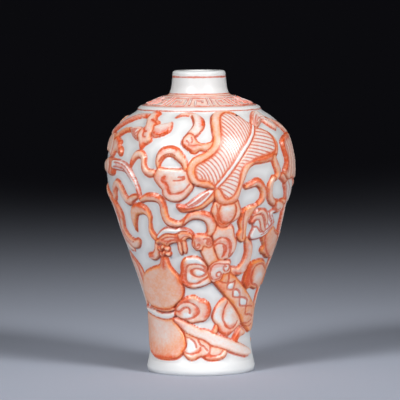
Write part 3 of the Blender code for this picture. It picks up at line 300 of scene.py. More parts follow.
ribbon("dip_ribbon", 1, ROSE, (0.6, 0.95, 1.1, 1.05, 0.85, 0.95, 1.05, 1.05, 0.75, 0.7, 0.35), (-39.5, 47),
    (-35, 47.7), (-30, 47.9), (-26, 47.3), (-24, 45.7), (-23.7, 43.6), (-22.5, 41.9), (-18.5, 41),
    (-14, 40.9), (-10.5, 41.6), (-7.5, 43.3))
strokes("dip_ribbon",
    (1, 0.6, (-33, 48.4), (-29, 48.5), (-25.8, 48)),
    (0.9, 0.5, (-24.2, 46.8), (-23.3, 45.8)),
    (0.7, 0.5, (-25.3, 42.6), (-24, 41.3), (-21.5, 40.6), (-17, 40.4)))
ribbon("drop_loop", 1, TAN, (0.15, 0.9, 1.45, 1.5, 1.25, 0.75, 0.45, 0.7, 0.9, 0.6), (-50.8, 38.4),
    (-50.3, 41.2), (-47.6, 43.8), (-43, 44.6), (-38.2, 44.3), (-35.4, 42.8), (-35.9, 41), (-36.6, 39),
    (-35, 37.5), (-33, 36.4))
strokes("drop_loop",
    (1, 0.55, (-48, 45.6), (-44, 45.7), (-40, 45.5), (-37, 44.8)),
    (0.6, 0.5, (-37.2, 38.2), (-35, 37)))

# Blossom knot left of the fan.
patch("knot_body", 1, PALE, (-25.5, 55.9), (-27, 54.6), (-28.5, 53.1), (-27.5, 52), (-25.5, 50.8),
    (-23.6, 50), (-23.5, 48.8), (-22, 47.8), (-20, 47.2), (-17, 46.8), (-13, 46.9), (-9.5, 47.7),
    (-6.5, 49), (-4.5, 50), (-3.7, 51), (-5, 53), (-6, 56), (-9.8, 55.5), (-16, 55.5), (-22, 55.6))
lines("knot_body", 0.16,
    [(-20.5, 53.5), (-22.6, 53.1), (-22.9, 52.3), (-20.7, 51.8), (-19.1, 51), (-19.3, 50), (-18.8, 49.3),
     (-16.5, 49), (-13, 49.2), (-10, 49.8), (-8, 50.6), (-6, 51.6)])
lines("knot_body", 0.12, [(-12.8, 53.4), (-11, 53.3), (-9, 53.5)], [(-16, 52.4), (-12, 52.5), (-9, 52.9)])
strokes("knot_body",
    (1, 0.65, (-21, 53.2), (-22.2, 52.6), (-20.4, 51.6), (-19.2, 50.2), (-18.3, 49.4)),
    (0.6, 0.5, (-13, 49.2), (-10, 49.6)),
    (0.4, 0.8, (-26.5, 53.4), (-24.8, 51.2), (-22.6, 48.6)),
    (-0.3, 0.9, (-21, 54.8), (-16, 54.4), (-9, 54.6)),
    (-0.3, 0.9, (-14, 50.8), (-10, 51.4)))
ribbon("knot_arch", 2, ROSE, (0.55, 0.9, 1.3, 1.35, 1.35, 1.2, 0.9, 0.75, 0.6), (-25.8, 56), (-25.4, 57.6),
    (-23, 59.4), (-19.5, 59.9), (-15.5, 59.7), (-12.4, 58.6), (-10, 57.4), (-8.9, 56.4), (-8.6, 55.5))
strokes("knot_arch", (1, 0.7, (-24.4, 59.8), (-21, 60.5), (-17.5, 60.8), (-14.5, 60.2)))
lines("knot_arch", 0.12, [(-24.8, 57.2), (-22.5, 58.5), (-18.5, 59.1), (-15, 58.8)])

# Ruyi ribbon above the fan's left edge.
ribbon("top_scroll", 1, THIN, (0.25, 0.45, 0.6, 0.8, 1.3, 1.45, 1.35, 1.2, 0.95), (-19, 68.4), (-15, 68.9),
    (-10, 69), (-5, 68.8), (-1.2, 67.9), (-0.2, 66.6), (-2.2, 65.2), (-5.5, 64), (-8, 63.2))
patch("ruyi_head", 2, PALE, (-6.5, 64.2), (-9, 63.7), (-11.3, 62.5), (-10.8, 61.4), (-8.6, 60.6),
    (-6.4, 60.1), (-5, 59.5), (-2.8, 59.3), (-0.8, 59.8), (1, 60.1), (4, 59.8), (8, 60.5), (11, 62.5),
    (8.7, 63.2), (7.5, 62.3), (4, 61.9), (1, 61.9), (-1.5, 62.5), (-3.8, 63.7))
lines("ruyi_head", 0.12,
    [(-8, 62.4), (-6.5, 61.8), (-6.8, 61.2), (-4, 61.2), (-1.5, 61.4), (1.5, 61.2)],
    [(-5, 63.2), (-4.3, 62.4), (-4.8, 61.9)])
strokes("ruyi_head",
    (1, 0.55, (-10.6, 62), (-9, 61), (-6.4, 60.3), (-4.6, 59.8)),
    (0.6, 0.5, (-4, 61), (-1.5, 61.2)))
strokes("top_scroll", (1, 0.8, (2.6, 68), (2.8, 67), (2.2, 66.2)), (0.5, 0.5, (-9, 69.1), (-4, 69)))

# Leaf under the fan.
patch("curl_leaf_low", 1, ROSE, (-14.4, 45.8), (-13.9, 44.8), (-12, 44.1), (-8, 44.1), (-4.5, 44.4),
    (-1, 44.7), (2.5, 45.2), (5, 46), (8, 47), (9.5, 48), (9.5, 49.5), (8.5, 50.1), (6, 49), (0, 47),
    (-6, 46))
patch("curl_leaf", 2, WHITE, (-14.8, 46.1), (-10, 46), (-7, 46.6), (-4, 47.6), (0, 48.8), (4, 49.7),
    (8.4, 50.3), (8.6, 49.7), (6, 48.3), (3, 47), (0, 46), (-5.5, 45.3), (-10, 45), (-13.5, 45))
lines("curl_leaf", 0.12,
    [(-10, 46), (-6, 46.1), (-2, 47.1), (2, 48.4), (5.5, 49.5)],
    [(-7, 45.7), (-3, 46.3), (1, 47.4), (5, 49)])
strokes("curl_leaf", (1, 0.8, (-13.6, 45.5), (-11, 45.4), (-9, 45.5)))
strokes("curl_leaf_low", (0.6, 0.5, (-12.5, 44.6), (-8, 44.5), (-4, 44.8)))

# Arch under the leaf.
ribbon("mid_arch", 1, PALE, (0.35, 0.75, 1, 1.15, 1.25, 1.35, 1.3, 1.2, 1, 0.7), (-10.5, 41.2), (-8, 42.3),
    (-5, 43.1), (-1.5, 43.3), (2, 43.1), (5.2, 42.5), (7.4, 41.2), (8, 39.8), (7.4, 38.6), (5.5, 38))
strokes("mid_arch",
    (0.9, 0.7, (2, 43.8), (5, 43.5), (8, 42.9), (9.6, 41.9)),
    (0.4, 0.6, (-7, 42.9), (-4.5, 43.9)))

# Tassel ring under the fan.
patch("ring_loop", 1, PALE, (9.5, 46.9), (8, 45.6), (7.2, 44.2), (9, 42.8), (10.4, 41.6), (13, 40.2),
    (16, 39.9), (19, 40.2), (20.8, 41), (24, 41.7), (26.6, 42.6), (27.8, 43.8), (26.4, 45.2), (25.3, 46.2),
    (23.5, 47.3), (16, 47))
lines("ring_loop", 0.12, [(10.3, 46.3), (11.2, 44.5), (11, 43.2), (12.6, 41.5), (15.5, 40.8)])
strokes("ring_loop", (0.7, 0.6, (11, 43.4), (12, 42), (14, 40.9), (17, 40.4)))
patch("ring_disc", 2, PALE, (13.4, 46.2), (12.1, 45), (11.9, 43.5), (13, 42.1), (15.4, 41.2), (18, 41.1),
    (20.6, 41.7), (22.6, 42.8), (23.4, 44.2), (22.9, 45.6), (21.2, 46.6), (17, 47))
strokes("ring_disc",
    (0.35, 1, (14.5, 43), (18, 42.4), (21, 43.6)),
    (-0.3, 0.9, (16.4, 45.2), (18.6, 45)),
    (0.8, 0.5, (12.2, 43.9), (13.2, 42.3), (15.6, 41.3), (17.6, 41.6)))

# Fan.
patch("fan", 3, ROSE, (8.4, 65.2), (8.4, 67), (9.6, 68.3), (12.5, 69.1), (18, 69.5), (25, 69.5),
    (30.5, 68.9), (34, 67.9), (37, 66.9), (39.7, 66.2), (42, 65.6), (46, 65.1), (50.5, 64.5), (54, 63.6),
    (56.5, 62.5), (57.7, 61.2), (57.3, 59.9), (56, 58.8), (54, 57.7), (50, 57), (45, 56.6), (40, 56.4),
    (35.5, 56.3), (32, 55.5), (29.5, 54), (28, 52.5), (26.6, 51), (25.7, 49.5), (25, 48.2), (23.5, 47.1),
    (20, 46.4), (15, 46.2), (11.5, 46.6), (9.2, 47.6), (8.7, 49), (8.4, 50), (5, 50.4), (1, 50.7),
    (-3, 51.2), (-5.6, 52.3), (-7.1, 54), (-7.4, 55.5), (-6.2, 57), (-4, 58.1), (-1, 58.8), (3, 59.5),
    (7, 60.8), (8.8, 62.5), (8.7, 64))
patch("fan_web", 2, THIN, (15, 66.7), (14.2, 65), (13.8, 63.5), (13.5, 62.2), (12.3, 61), (10, 59.6),
    (6.5, 58.4), (2, 57.2), (-1, 56.5), (-2.6, 55.6), (-2.6, 54), (-1, 52.8), (1, 52.4), (5, 52.3),
    (8, 51.4), (10.5, 50.7), (12.3, 50.1), (13.3, 49.3), (15, 48.1), (17, 47.7), (19.5, 48.1), (21.5, 49),
    (23, 50.5), (24, 52), (24.5, 53.5), (25.6, 55), (28, 56.1), (33, 57.1), (37, 57.7), (42, 58.1),
    (46, 58.4), (50, 58.8), (52.6, 59.3), (54, 60.3), (54, 61.3), (53.4, 62.3), (52, 63.3), (49, 64.3),
    (45, 64.9), (41.5, 65.4), (39.6, 65.9), (37, 66.6), (34, 67.5), (31, 68.2), (27, 68.6), (22, 68.8),
    (18, 68.3), (15.8, 67.5))
strokes("fan",
    (0.9, 0.5, (50, 58.1), (44, 57.6), (38, 57.2), (34, 57)),
    (0.6, 0.6, (55.5, 61.5), (55.8, 60), (54, 58.6)),
    (0.5, 0.6, (-1, 51.2), (5, 50.9)),
    (0.4, 0.6, (10, 47.8), (13, 47), (19, 46.9), (23, 47.8)))
ribbon("fan_rib", 3, WHITE, (0.5, 0.55, 0.6, 0.6, 0.6, 0.6, 0.55, 0.45), (39.8, 65.8), (36.5, 63.9),
    (32, 61.8), (28, 60), (23, 57.4), (18, 54.8), (13, 52.3), (9.8, 50.9))
fan_edge_left = [(33, 67.7), (29, 68.4), (24, 68.7), (19.5, 68.5), (16.3, 67.7), (15, 66.6), (14.3, 65.2),
    (13.9, 63.8), (13.6, 62.5), (12.6, 61.2), (10.6, 60), (8, 58.9), (5, 58), (2, 57.2), (-0.6, 56.5),
    (-2.2, 55.5)]
fan_rib_left = [(36.3, 64.6), (34.3, 63.6), (32.2, 62.6), (30.2, 61.7), (28.3, 60.8), (26.4, 59.8),
    (24.6, 58.9), (22.7, 57.9), (20.8, 57), (18.9, 56), (17, 55), (15, 53.9), (12.8, 53), (10.2, 52.4),
    (7, 52.2), (4, 52.3)]
fan_rib_right = [(40.6, 64.9), (38.6, 63.9), (36.4, 62.7), (34, 61.6), (31.6, 60.5), (29.2, 59.4),
    (27, 58.3), (24.8, 57.2), (22.6, 56.1), (20.4, 55), (18.2, 53.9), (16, 52.7), (14, 51.6), (12.6, 50.4)]
fan_edge_right = [(49, 64.3), (53.2, 62.6), (54, 61.2), (53.4, 59.9), (49.6, 58.7), (42, 58.1), (36, 57.5),
    (30.6, 56.7), (26.6, 55.7), (25, 54.2), (24.4, 52.9), (23.8, 51.6), (22.6, 50), (20.3, 48.5)]
ribs("fan_web", 22, (0.5, 0.4), fan_edge_left, fan_rib_left)
ribs("fan_web", 19, (0, 0.2), fan_rib_right, fan_edge_right)
strokes("fan_web",
    (0.9, 0.35, (14.6, 66.2), (13.9, 63.8), (13.4, 62), (11.6, 60.4), (8.6, 59), (5, 57.8), (2, 57)),
    (0.7, 0.35, (-2.1, 55.4), (-2.2, 54), (-0.8, 53), (1, 52.7)),
    (0.8, 0.3, (50, 58.9), (43, 58.4), (36, 57.7)))

# Right of the fan.
patch("whisk", 1, THIN, (40, 66.3), (43, 67.4), (47, 68.3), (52, 69), (58, 69.4), (62, 69.3), (61.5, 68.4),
    (64, 67.2), (67, 65.6), (65.5, 64.5), (61, 64.9), (57, 65.9), (53.5, 66.8), (50, 66.4), (46, 65.7),
    (43, 65.4))
lines("whisk", 0.03,
    [(41.5, 66.2), (45, 67.5), (50, 68.4), (56, 68.9)],
    [(42.6, 66), (46, 67.1), (51, 68), (57, 68.4), (62, 67.9)],
    [(43.5, 65.8), (47, 66.8), (52, 67.5), (58, 67.6), (63, 66.9)],
    [(45, 65.9), (49, 66.7), (54, 67.1), (60, 66.7), (64.5, 65.8)])
strokes("whisk", (0.7, 0.4, (64.5, 65.4), (66, 65.2)), (0.5, 0.4, (42, 66), (46, 66.9), (52, 67.8)))
ribbon("far_leaf", 1, THIN, (0.3, 0.6, 0.75, 0.8, 0.75, 0.6), (61.5, 67.6), (67, 67), (74, 65.9),
    (81, 64.4), (88, 62.9), (94, 61))
lines("far_leaf", 0.06, [(64, 67.4), (70, 66.6), (77, 65.3), (84, 63.8)])
strokes("far_leaf", (0.7, 0.35, (64, 67.9), (70, 67.2), (77, 66), (84, 64.6)))
patch("right_leaf", 2, PALE, (63.6, 61.4), (66, 62.1), (73, 62.8), (82, 63.2), (91, 62.6), (98, 60.5),
    (101, 57), (97, 53.5), (88, 51.4), (78, 51.2), (70, 51.3), (65, 52.2), (61.8, 53.2), (61.3, 54.2),
    (63.6, 55.2), (65.6, 56.4), (64.8, 58), (63.8, 59.6))
strokes("right_leaf",
    (1, 0.75, (65.5, 61.2), (65.5, 59), (67, 57.2), (66, 55.4), (63.6, 54)),
    (0.8, 0.7, (67, 61.9), (74, 62.3), (80, 62.4)))
lines("right_leaf", 0.1,
    [(68.5, 61.4), (69.6, 58.8), (69, 55.6), (66.6, 53.4)],
    [(72.5, 61.8), (74, 58.6), (73, 54.8), (70.4, 52.2)],
    [(78, 61.9), (79.5, 58), (78, 54), (75, 51.8)])
patch("under_leaf", 1, PALE, (56.6, 52.6), (59.5, 51.6), (63, 50.8), (64.2, 49.8), (67, 49), (72, 48.8),
    (78, 49), (86, 49.4), (88, 51.2), (78, 51.2), (70, 51.3), (65, 52.2), (60.5, 53.5))
strokes("under_leaf", (0.7, 0.5, (58.5, 52.2), (62, 51.2), (66, 51)))
ribbon("strap_right", 1, ROSE, (1, 1.15, 1.15, 1, 0.85, 0.8), (51.8, 57.5), (53, 56.2), (54.8, 54.7),
    (55.6, 53.6), (54.5, 52.7), (51, 52))
strokes("strap_right", (1, 0.6, (57.4, 54.5), (57.5, 53.4)), (0.6, 0.6, (54, 56.9), (54.6, 55.8)))
ribbon("strap_down", 1, PALE, (0.8, 1, 1.05, 1, 0.95, 0.95, 0.95, 0.8), (50.5, 52.3), (48.6, 50.6),
    (48.6, 48.8), (50.4, 47), (54, 45.9), (59.5, 45.3), (66, 45.6), (76, 45.8))
strokes("strap_down", (0.9, 0.5, (46.2, 49.4), (46.4, 47.4), (48.4, 46), (52.5, 45.2)))
ribbon("hook_right", 2, ROSE, (0.75, 0.9, 1.05, 1.05, 1, 0.9, 0.75, 0.4), (29.4, 50.6), (33, 51.1),
    (37, 51.5), (41, 50.5), (43.2, 48.7), (42.6, 46.9), (40.2, 45.9), (37.5, 45.2))
strokes("hook_right",
    (0.9, 0.55, (31, 51.1), (35, 52.1), (39.5, 51.5), (43.6, 50.2), (45, 48.8)),
    (0.6, 0.5, (42.5, 47), (40.6, 46.2)))
patch("cloth_end", 1, TAN, (28, 44.4), (30, 45), (33, 45.5), (36.5, 45.7), (39.2, 45.5), (38, 44.6),
    (36.8, 43.8), (35.6, 42.8), (34, 42), (33.6, 40.6), (33.9, 39.2), (34.3, 37.8), (35.2, 36.6),
    (33.5, 35.9), (31, 35.8), (28.8, 36.3), (27.2, 37.2), (26.8, 38.1), (28.2, 39.1), (27.2, 40.3),
    (26.3, 41.4), (27.4, 42.7), (27, 43.6))
strokes("cloth_end", (1, 0.55, (28.4, 44.2), (28, 43), (26.9, 41.6)), (0.6, 0.5, (28, 39.4), (27.6, 38)))
lines("cloth_end", 0.12, [(30.2, 44.6), (29.6, 42.6), (29.8, 40.8), (31, 38.6), (31.2, 36.8)])

# Sprig and bud at the right edge, and the castanet flower.
patch("edge_sprig", -1, THIN, (63.4, 50.4), (66, 49), (68, 47.4), (69.4, 46), (74, 45), (80, 45.6),
    (84, 48), (82, 50.6), (76, 51.8), (69, 51.6))
lines("edge_sprig", 0.1,
    [(66, 50.6), (69.6, 49.2), (71.6, 47.2), (73, 45.6)],
    [(70, 51), (74, 49.6), (76, 47.4), (76.6, 45.6)])
strokes("edge_sprig", (0.8, 0.5, (64.6, 50.4), (67.8, 48.6), (70, 46.4)))
patch("edge_bud", 2, PALE, (55.4, 45.8), (58.4, 46.4), (62.4, 46), (66.4, 45.4), (68, 44.4), (65.6, 43.4),
    (62, 42.9), (58.6, 43), (56, 43.9))
lines("edge_bud", 0.08, [(57, 44.4), (60, 43.9), (64, 44.2)])
strokes("edge_bud", (0.8, 0.5, (56, 45.4), (57.4, 43.6), (61, 43.1)))
patch("flower_body", 1, WHITE, (37.2, 37.1), (38.6, 36.4), (41, 36.2), (45, 36.3), (49, 36.5), (53, 37.1),
    (57, 38.3), (61.5, 40), (60, 41.4), (57, 42.4), (54, 43), (50.5, 43.6), (47, 44.3), (42, 44.5),
    (38.5, 44.2), (36.4, 43), (36.2, 41.6), (38, 40.6), (39.2, 39.4), (38.4, 38.4))
ribbon("flower_band", 1.6, THIN, (0.35, 0.55, 0.6, 0.55, 0.35), (37.4, 43.1), (43.2, 43.9), (47.2, 43.1),
    (49.9, 41.5), (50.4, 40.2))
patch("flower_bowl", 1.8, WHITE, (37.6, 37.4), (39.4, 36.5), (43, 36.5), (47, 36.7), (51, 37), (54.4, 37.6),
    (58.9, 38.9), (61.3, 40.2), (60.4, 41), (57, 39.9), (53, 39), (49, 38.4), (45.6, 38.5), (42.6, 39.6),
    (40, 39.9), (38.6, 38.8))
lines("flower_bowl", 0.08, [(47.6, 37.6), (52, 38), (56, 38.9), (59.6, 40.1)])
ribbon("flower_petal", 2, WHITE, (0.4, 0.6, 0.5, 0.45, 0.35), (57.4, 43.6), (53.6, 43.1), (54.4, 42.2),
    (57, 41.4), (57.2, 40.3))
ribbon("flower_hook", 2.4, THIN, (0.7, 0.75, 0.7, 0.65, 0.7, 0.6), (37, 41.2), (39, 42.3), (43, 42.3),
    (45.6, 41), (47.4, 39.6), (49.6, 38.8))
strokes("flower_hook", (1, 0.7, (36.8, 40.9), (38.6, 41.6)))
strokes("flower_petal", (0.6, 0.4, (57.6, 43.4), (54.8, 42.6)))
lines("flower_body", 0.12, [(51.8, 40.6), (54, 39.9), (55.4, 39.4)], [(52.6, 41.6), (54.8, 41), (56, 40.6)])

# Peach right of the sword's pommel.
patch("peach", 1, PALE, (10.6, 41.7), (13, 40.3), (16, 40), (19, 40.3), (21.6, 40.5), (23.6, 39.6),
    (24.7, 38.2), (25.7, 37.2), (27.1, 36.4), (27.7, 35), (27.1, 33.5), (25.3, 32.4), (22.5, 31.6),
    (18, 31.2), (14.5, 31.2), (12.6, 32.2), (11, 33.5), (9.4, 35), (9.4, 36.3), (8.2, 37.4), (8.6, 38.4),
    (10.4, 39.4), (10.9, 40.5))
lines("peach", 0.22,
    [(9.8, 36), (12, 36.9), (15, 37.4), (18.5, 37.2), (21.3, 36.4), (22.6, 35.1), (22.9, 33.6),
     (22.2, 32.4)])
lines("peach", 0.16,
    [(10.2, 35.1), (12.6, 35.8), (15.6, 35.8), (18.2, 35.2), (19.4, 34.1), (18.6, 33), (17.2, 32.2)])
lines("peach", 0.12,
    [(16.6, 35.3), (17.8, 34.4), (17.6, 33.2), (16.6, 32.1)],
    [(23.4, 31.6), (23.9, 32.6), (25.4, 33.2)])
strokes("peach",
    (0.8, 0.7, (19, 36.9), (21.4, 35.9), (22.2, 34.6)),
    (0.7, 0.6, (18.6, 35), (19.2, 33.8), (18.2, 32.6)),
    (0.8, 0.6, (11.5, 41), (15, 40.4), (19, 40.6)),
    (0.5, 0.6, (11, 35.7), (14, 36.4)))

# Garland above the gourd.
patch("garland_crest", 1, WHITE, (-32, 37.6), (-28, 39.1), (-23.5, 39.9), (-18.5, 39.8), (-15, 39.7),
    (-11, 39.9), (-7, 39.4), (-4.5, 38.4), (-5, 37.8), (-8, 38.7), (-12, 39), (-15.5, 38.4), (-18, 38.1),
    (-24, 38.2), (-28, 37.4), (-31, 36.6))
patch("garland", 2, ROSE, (-31.5, 36.8), (-28, 37.7), (-24, 38.4), (-18, 38.3), (-15.5, 38.6), (-12, 39.2),
    (-8, 38.9), (-5.2, 38), (-5.2, 36.6), (-7, 37.1), (-9, 37.1), (-11, 36.4), (-13, 35.8), (-18, 35.9),
    (-21.5, 35.6), (-24.5, 34.9), (-27, 35.2), (-30.5, 35.6), (-33, 35.4), (-34.2, 36.3))
lines("garland", 0.15,
    [(-25.5, 35.5), (-23, 36.3), (-20, 36.8), (-16.5, 36.6), (-14.6, 36.3)],
    [(-14.6, 36.3), (-13, 37.2), (-11, 37.8), (-8.5, 37.8), (-6.3, 37.4)],
    [(-28, 36.7), (-24, 37.5), (-19, 37.6), (-16, 37.1), (-14.8, 36.4)])
lines("garland", 0.12, [(-16, 38.4), (-15.3, 37.4), (-14.6, 36.4)])
strokes("garland",
    (0.8, 0.45, (-17, 37.9), (-15, 37), (-14.2, 36.5)),
    (0.8, 0.5, (-29, 36.6), (-25, 36.4), (-22, 36.5)),
    (0.5, 0.4, (-12, 38.6), (-8, 38.3)))
ribbon("garland_tab_a", 1, PALE, (0.6, 0.62, 0.6, 0.4), (-14.9, 36.1), (-14.9, 34.9), (-14.6, 33.7),
    (-14.3, 32.9))
ribbon("garland_tab_b", 1, PALE, (0.55, 0.6, 0.6, 0.4), (-11.9, 36.2), (-11.6, 35.1), (-11.4, 34),
    (-11.5, 33.3))
patch("gourd_scroll", 1, PALE, (-34.8, 35.9), (-36.2, 34.7), (-37.4, 33.6), (-40, 32.9), (-42.6, 32.8),
    (-44.6, 32.4), (-44.8, 31.8), (-43, 31.2), (-40, 30.9), (-37, 31.1), (-34.5, 31.6), (-32.6, 32.2),
    (-32, 33.6), (-32.6, 35.2))
strokes("gourd_scroll", (0.9, 0.5, (-44, 32), (-41.5, 32.2), (-39, 32.3)))

# Left edge, behind the gourd.
ribbon("edge_fold", -3, THIN, (0.5, 1.2, 1.5, 1.6, 1.5, 1.2, 0.6), (-92, 46.6), (-82, 44.6), (-77, 41.8),
    (-79, 39), (-76, 36), (-70, 34), (-63, 33.2))
lines("edge_fold", 0.12, [(-78, 43.6), (-77, 40.4), (-79, 37.4), (-74, 34.8)])
strokes("edge_fold", (0.8, 0.7, (-76, 44), (-74.6, 41), (-76.6, 38.4), (-72, 35.6)))
patch("edge_leaf", -3, PALE, (-77, 32.4), (-71, 31.4), (-64.5, 29.8), (-60, 27.4), (-61, 23), (-66, 19.6),
    (-74, 18.2), (-80, 16.4), (-86, 18.4), (-87, 21), (-91, 23), (-90, 26), (-85, 28), (-83, 31))
lines("edge_leaf", 0.15, [(-75, 31.4), (-69.5, 29.6), (-67.4, 26.6), (-69, 22.4), (-74, 18.6)])
lines("edge_leaf", 0.13, [(-79, 31.2), (-76, 28.4), (-76.5, 24), (-80, 20)])
strokes("edge_leaf",
    (0.9, 0.7, (-73.5, 31.2), (-67.5, 29.6), (-65.4, 26.6), (-67, 22.6)),
    (-0.4, 0.8, (-83, 26), (-79, 20.4)))

# Gourd.
patch("gourd_low", 2, TAN, (-31, 15.6), (-27, 14.1), (-22.5, 12.6), (-19.2, 11), (-17, 9.6), (-16.1, 8.3),
    (-17, 7.1), (-19, 6.2), (-22, 5.3), (-26, 4.6), (-32, 4.15), (-40, 4), (-50, 4.05), (-60, 4.3),
    (-68, 5), (-75, 6.3), (-81, 8.2), (-85, 11), (-82, 14.2), (-74, 16.6), (-60, 17.2), (-42, 16.4))
strokes("gourd_low",
    (0.9, 0.7, (-66, 5.2), (-58, 4.6), (-48, 4.4), (-38, 4.4), (-30, 4.6)),
    (0.25, 1.6, (-70, 8), (-60, 6.4), (-45, 6), (-30, 6.4), (-20, 8)),
    (-0.25, 3.2, (-50, 13.4), (-42, 11)))
patch("gourd_top", 2, TAN, (-31.2, 32.6), (-33, 31.3), (-35.5, 29.8), (-42, 29.1), (-48, 28.5), (-53, 27.9),
    (-58, 27), (-62, 25.7), (-65.5, 23.8), (-67.8, 21.6), (-67.5, 19.9), (-62, 18.4), (-56, 17.8),
    (-50, 17.4), (-44, 17.3), (-38, 17.3), (-31, 17.8), (-26, 18.8), (-21, 19.9), (-17.5, 21),
    (-15.7, 22.5), (-15.5, 24.3), (-17, 26), (-19.5, 27.2), (-22.5, 28.3), (-25, 29.4), (-26, 30.6),
    (-27.3, 32.2))
strokes("gourd_top",
    (0.9, 0.9, (-29.6, 32.4), (-30.2, 31.2), (-30.6, 29.6)),
    (0.4, 1.2, (-20, 26.5), (-17, 24.5), (-17, 22.4)))
ribbon("gourd_belt", 3, WHITE, (0.3, 0.65, 0.85, 0.85, 0.85, 0.8, 0.7), (-77, 17.7), (-69, 16.9),
    (-58, 16.4), (-48, 15.9), (-40, 15.8), (-33, 16), (-28, 16.6))
ribbon("gourd_cord", 3, PALE, (0.35, 0.45, 0.45, 0.45, 0.45, 0.4), (-62, 18.1), (-54, 17.6), (-46, 17.3),
    (-39, 17.3), (-33, 17.5), (-28.5, 17.9))
disc("blossom_bud", 3, PALE, 0.8, (-30.6, 34.3), (-27.9, 34.8), (-25.2, 34.3), (-30.2, 32.9), (-27.4, 33.2),
    (-24.9, 32.9))

# Sword.
patch("hilt", 2, ROSE, (-0.6, 35.2), (-0.2, 33.9), (1.4, 32.5), (3.6, 31), (6.4, 29.6), (9, 28.6),
    (14, 29.4), (15.5, 30.8), (13.2, 32.1), (11.2, 33.6), (9.7, 35.2), (8.6, 36.6), (3, 37))
patch("scabbard", 2, DEEP, (9.6, 25.7), (13, 24.6), (17, 23.3), (22, 21.8), (28, 20.2), (34, 18.6),
    (40, 17), (46, 15.1), (50, 13.9), (54, 12.8), (60, 11.9), (66, 10.9), (72, 10.6), (79, 11.4),
    (83, 13.2), (82, 15.4), (77, 17.1), (70, 18.6), (65, 19.4), (60, 20.3), (55, 21.2), (50, 22.3),
    (45, 23.4), (40, 24.6), (35, 25.9), (31, 27), (27, 28.4), (24.8, 29.4), (18, 28.5), (12, 27.5))
lines("scabbard", 0.22,
    [(24.4, 28.8), (25.2, 26.2), (24.8, 24.2), (25.6, 23.3), (31.5, 23.1), (35, 23.1), (38, 22.6),
     (40, 21.8), (41, 20.5), (42.2, 19), (44, 18.5), (50, 18.3), (55, 18.2), (60, 18.1), (66, 17.8)],
    [(16, 25.9), (20, 25.2), (25, 25), (30, 25.2), (32, 25.4), (31.6, 23.6), (31.8, 22), (33, 21.1),
     (38, 20.9), (44, 20.8), (49, 20.4), (52.4, 19.8), (53, 18.5), (53.6, 16.9), (55, 15.9), (60, 15.8),
     (66, 15.5), (72, 15)])
lines("scabbard", 0.15,
    [(51.5, 13.4), (56, 13.5), (60, 13.3), (65, 13.6), (71, 14)],
    [(54, 12.7), (60, 12.4), (66, 12.4), (73, 12.9)])
strokes("scabbard",
    (0.6, 0.8, (14, 25), (18, 24.4), (22, 22.9)),
    (-1.2, 0.9, (28, 24.1)),
    (-1.2, 1, (35.5, 22.1), (37.5, 21.8)),
    (-1.2, 1, (44.5, 19.7), (49.5, 19.3)))
patch("guard", 3, THIN, (6.2, 28.2), (7, 29.5), (9, 30.4), (12, 31), (15, 31.3), (18.5, 31.2), (22, 31.1),
    (24.4, 31), (25.4, 30.3), (25.1, 29.3), (25.6, 28.5), (24, 27.8), (21, 27.6), (19.2, 27.6),
    (18.6, 26.7), (17.4, 26), (14, 25.7), (12, 25.3), (9.6, 25.4), (7.6, 26), (6.3, 27.1))
lines("guard", 0.19,
    [(8, 27.6), (8.6, 29.2), (10.8, 30.2), (14, 30.5), (18, 30.4), (21.8, 30.4), (23.6, 30), (23.9, 29.2),
     (22.6, 28.4), (20.4, 28.4), (19, 29.1), (19.6, 29.8), (21.2, 29.6)],
    [(8.2, 27.5), (9.4, 26.5), (12, 26.1), (15.4, 26.3), (17.4, 27), (17.4, 27.8), (15.6, 28.2),
     (13.6, 27.8), (13.6, 27.1), (15.2, 26.9)])
strokes("guard", (0.5, 0.5, (9.4, 29), (12, 29.9), (17, 30)), (0.5, 0.5, (10, 26.8), (12, 26.6)))
patch("pommel", 3, PALE, (-5.7, 36), (-5.3, 37), (-4.5, 37.9), (-2, 38.3), (3, 38.2), (6.7, 37.9),
    (8.8, 37), (9.1, 36), (8, 35.2), (6, 34.9), (4, 35.2), (2.4, 35.2), (1.6, 34.4), (-0.5, 33.9),
    (-3, 33.9), (-5, 34.7), (-5.8, 35.4))
lines("pommel", 0.19,
    [(-4, 36.4), (-3.6, 35.2), (-2.2, 34.6), (-0.6, 34.9), (-0.2, 35.6), (-1.4, 35.9), (-1.8, 35.3)],
    [(2.4, 37.2), (5, 37.3), (7.4, 36.8), (7.6, 36), (6.2, 35.6), (4.6, 36), (5, 36.7), (6.2, 36.4)])
strokes("pommel", (0.7, 0.7, (-3, 37.6), (-1, 37), (1, 36.4)))

# Bow below the sword's hilt.
patch("bow_loop", 1, ROSE, (6.4, 29.4), (4, 30.6), (1, 31.5), (-2, 32.1), (-5, 32.3), (-9, 32.1),
    (-12.5, 31.7), (-15, 30.8), (-16.5, 29.3), (-16.6, 28), (-18, 26.7), (-18.6, 26), (-17.2, 25.2),
    (-15, 24.3), (-11, 23.7), (-6, 23.5), (-1, 23.8), (4, 24.2), (7, 24.7), (10, 25.2), (8, 26.6),
    (6.6, 28))
lines("bow_loop", 0.22,
    [(5.6, 29), (2, 29.9), (-2, 30.3), (-6, 30.3), (-9.5, 30), (-11.4, 29.2), (-12.2, 28), (-12.8, 26.8),
     (-12.2, 25.8), (-10, 25.1), (-6, 25), (-2, 25.2), (1, 25.8), (4, 26.3), (6.4, 26.8)],
    [(6, 28.1), (3, 28.6), (-1, 29.1), (-4.5, 29.1), (-7.2, 28.5), (-7.4, 27.8), (-5.4, 27.3), (-3, 26.9),
     (0, 26.9), (2.4, 27.2), (6.2, 27.9)])
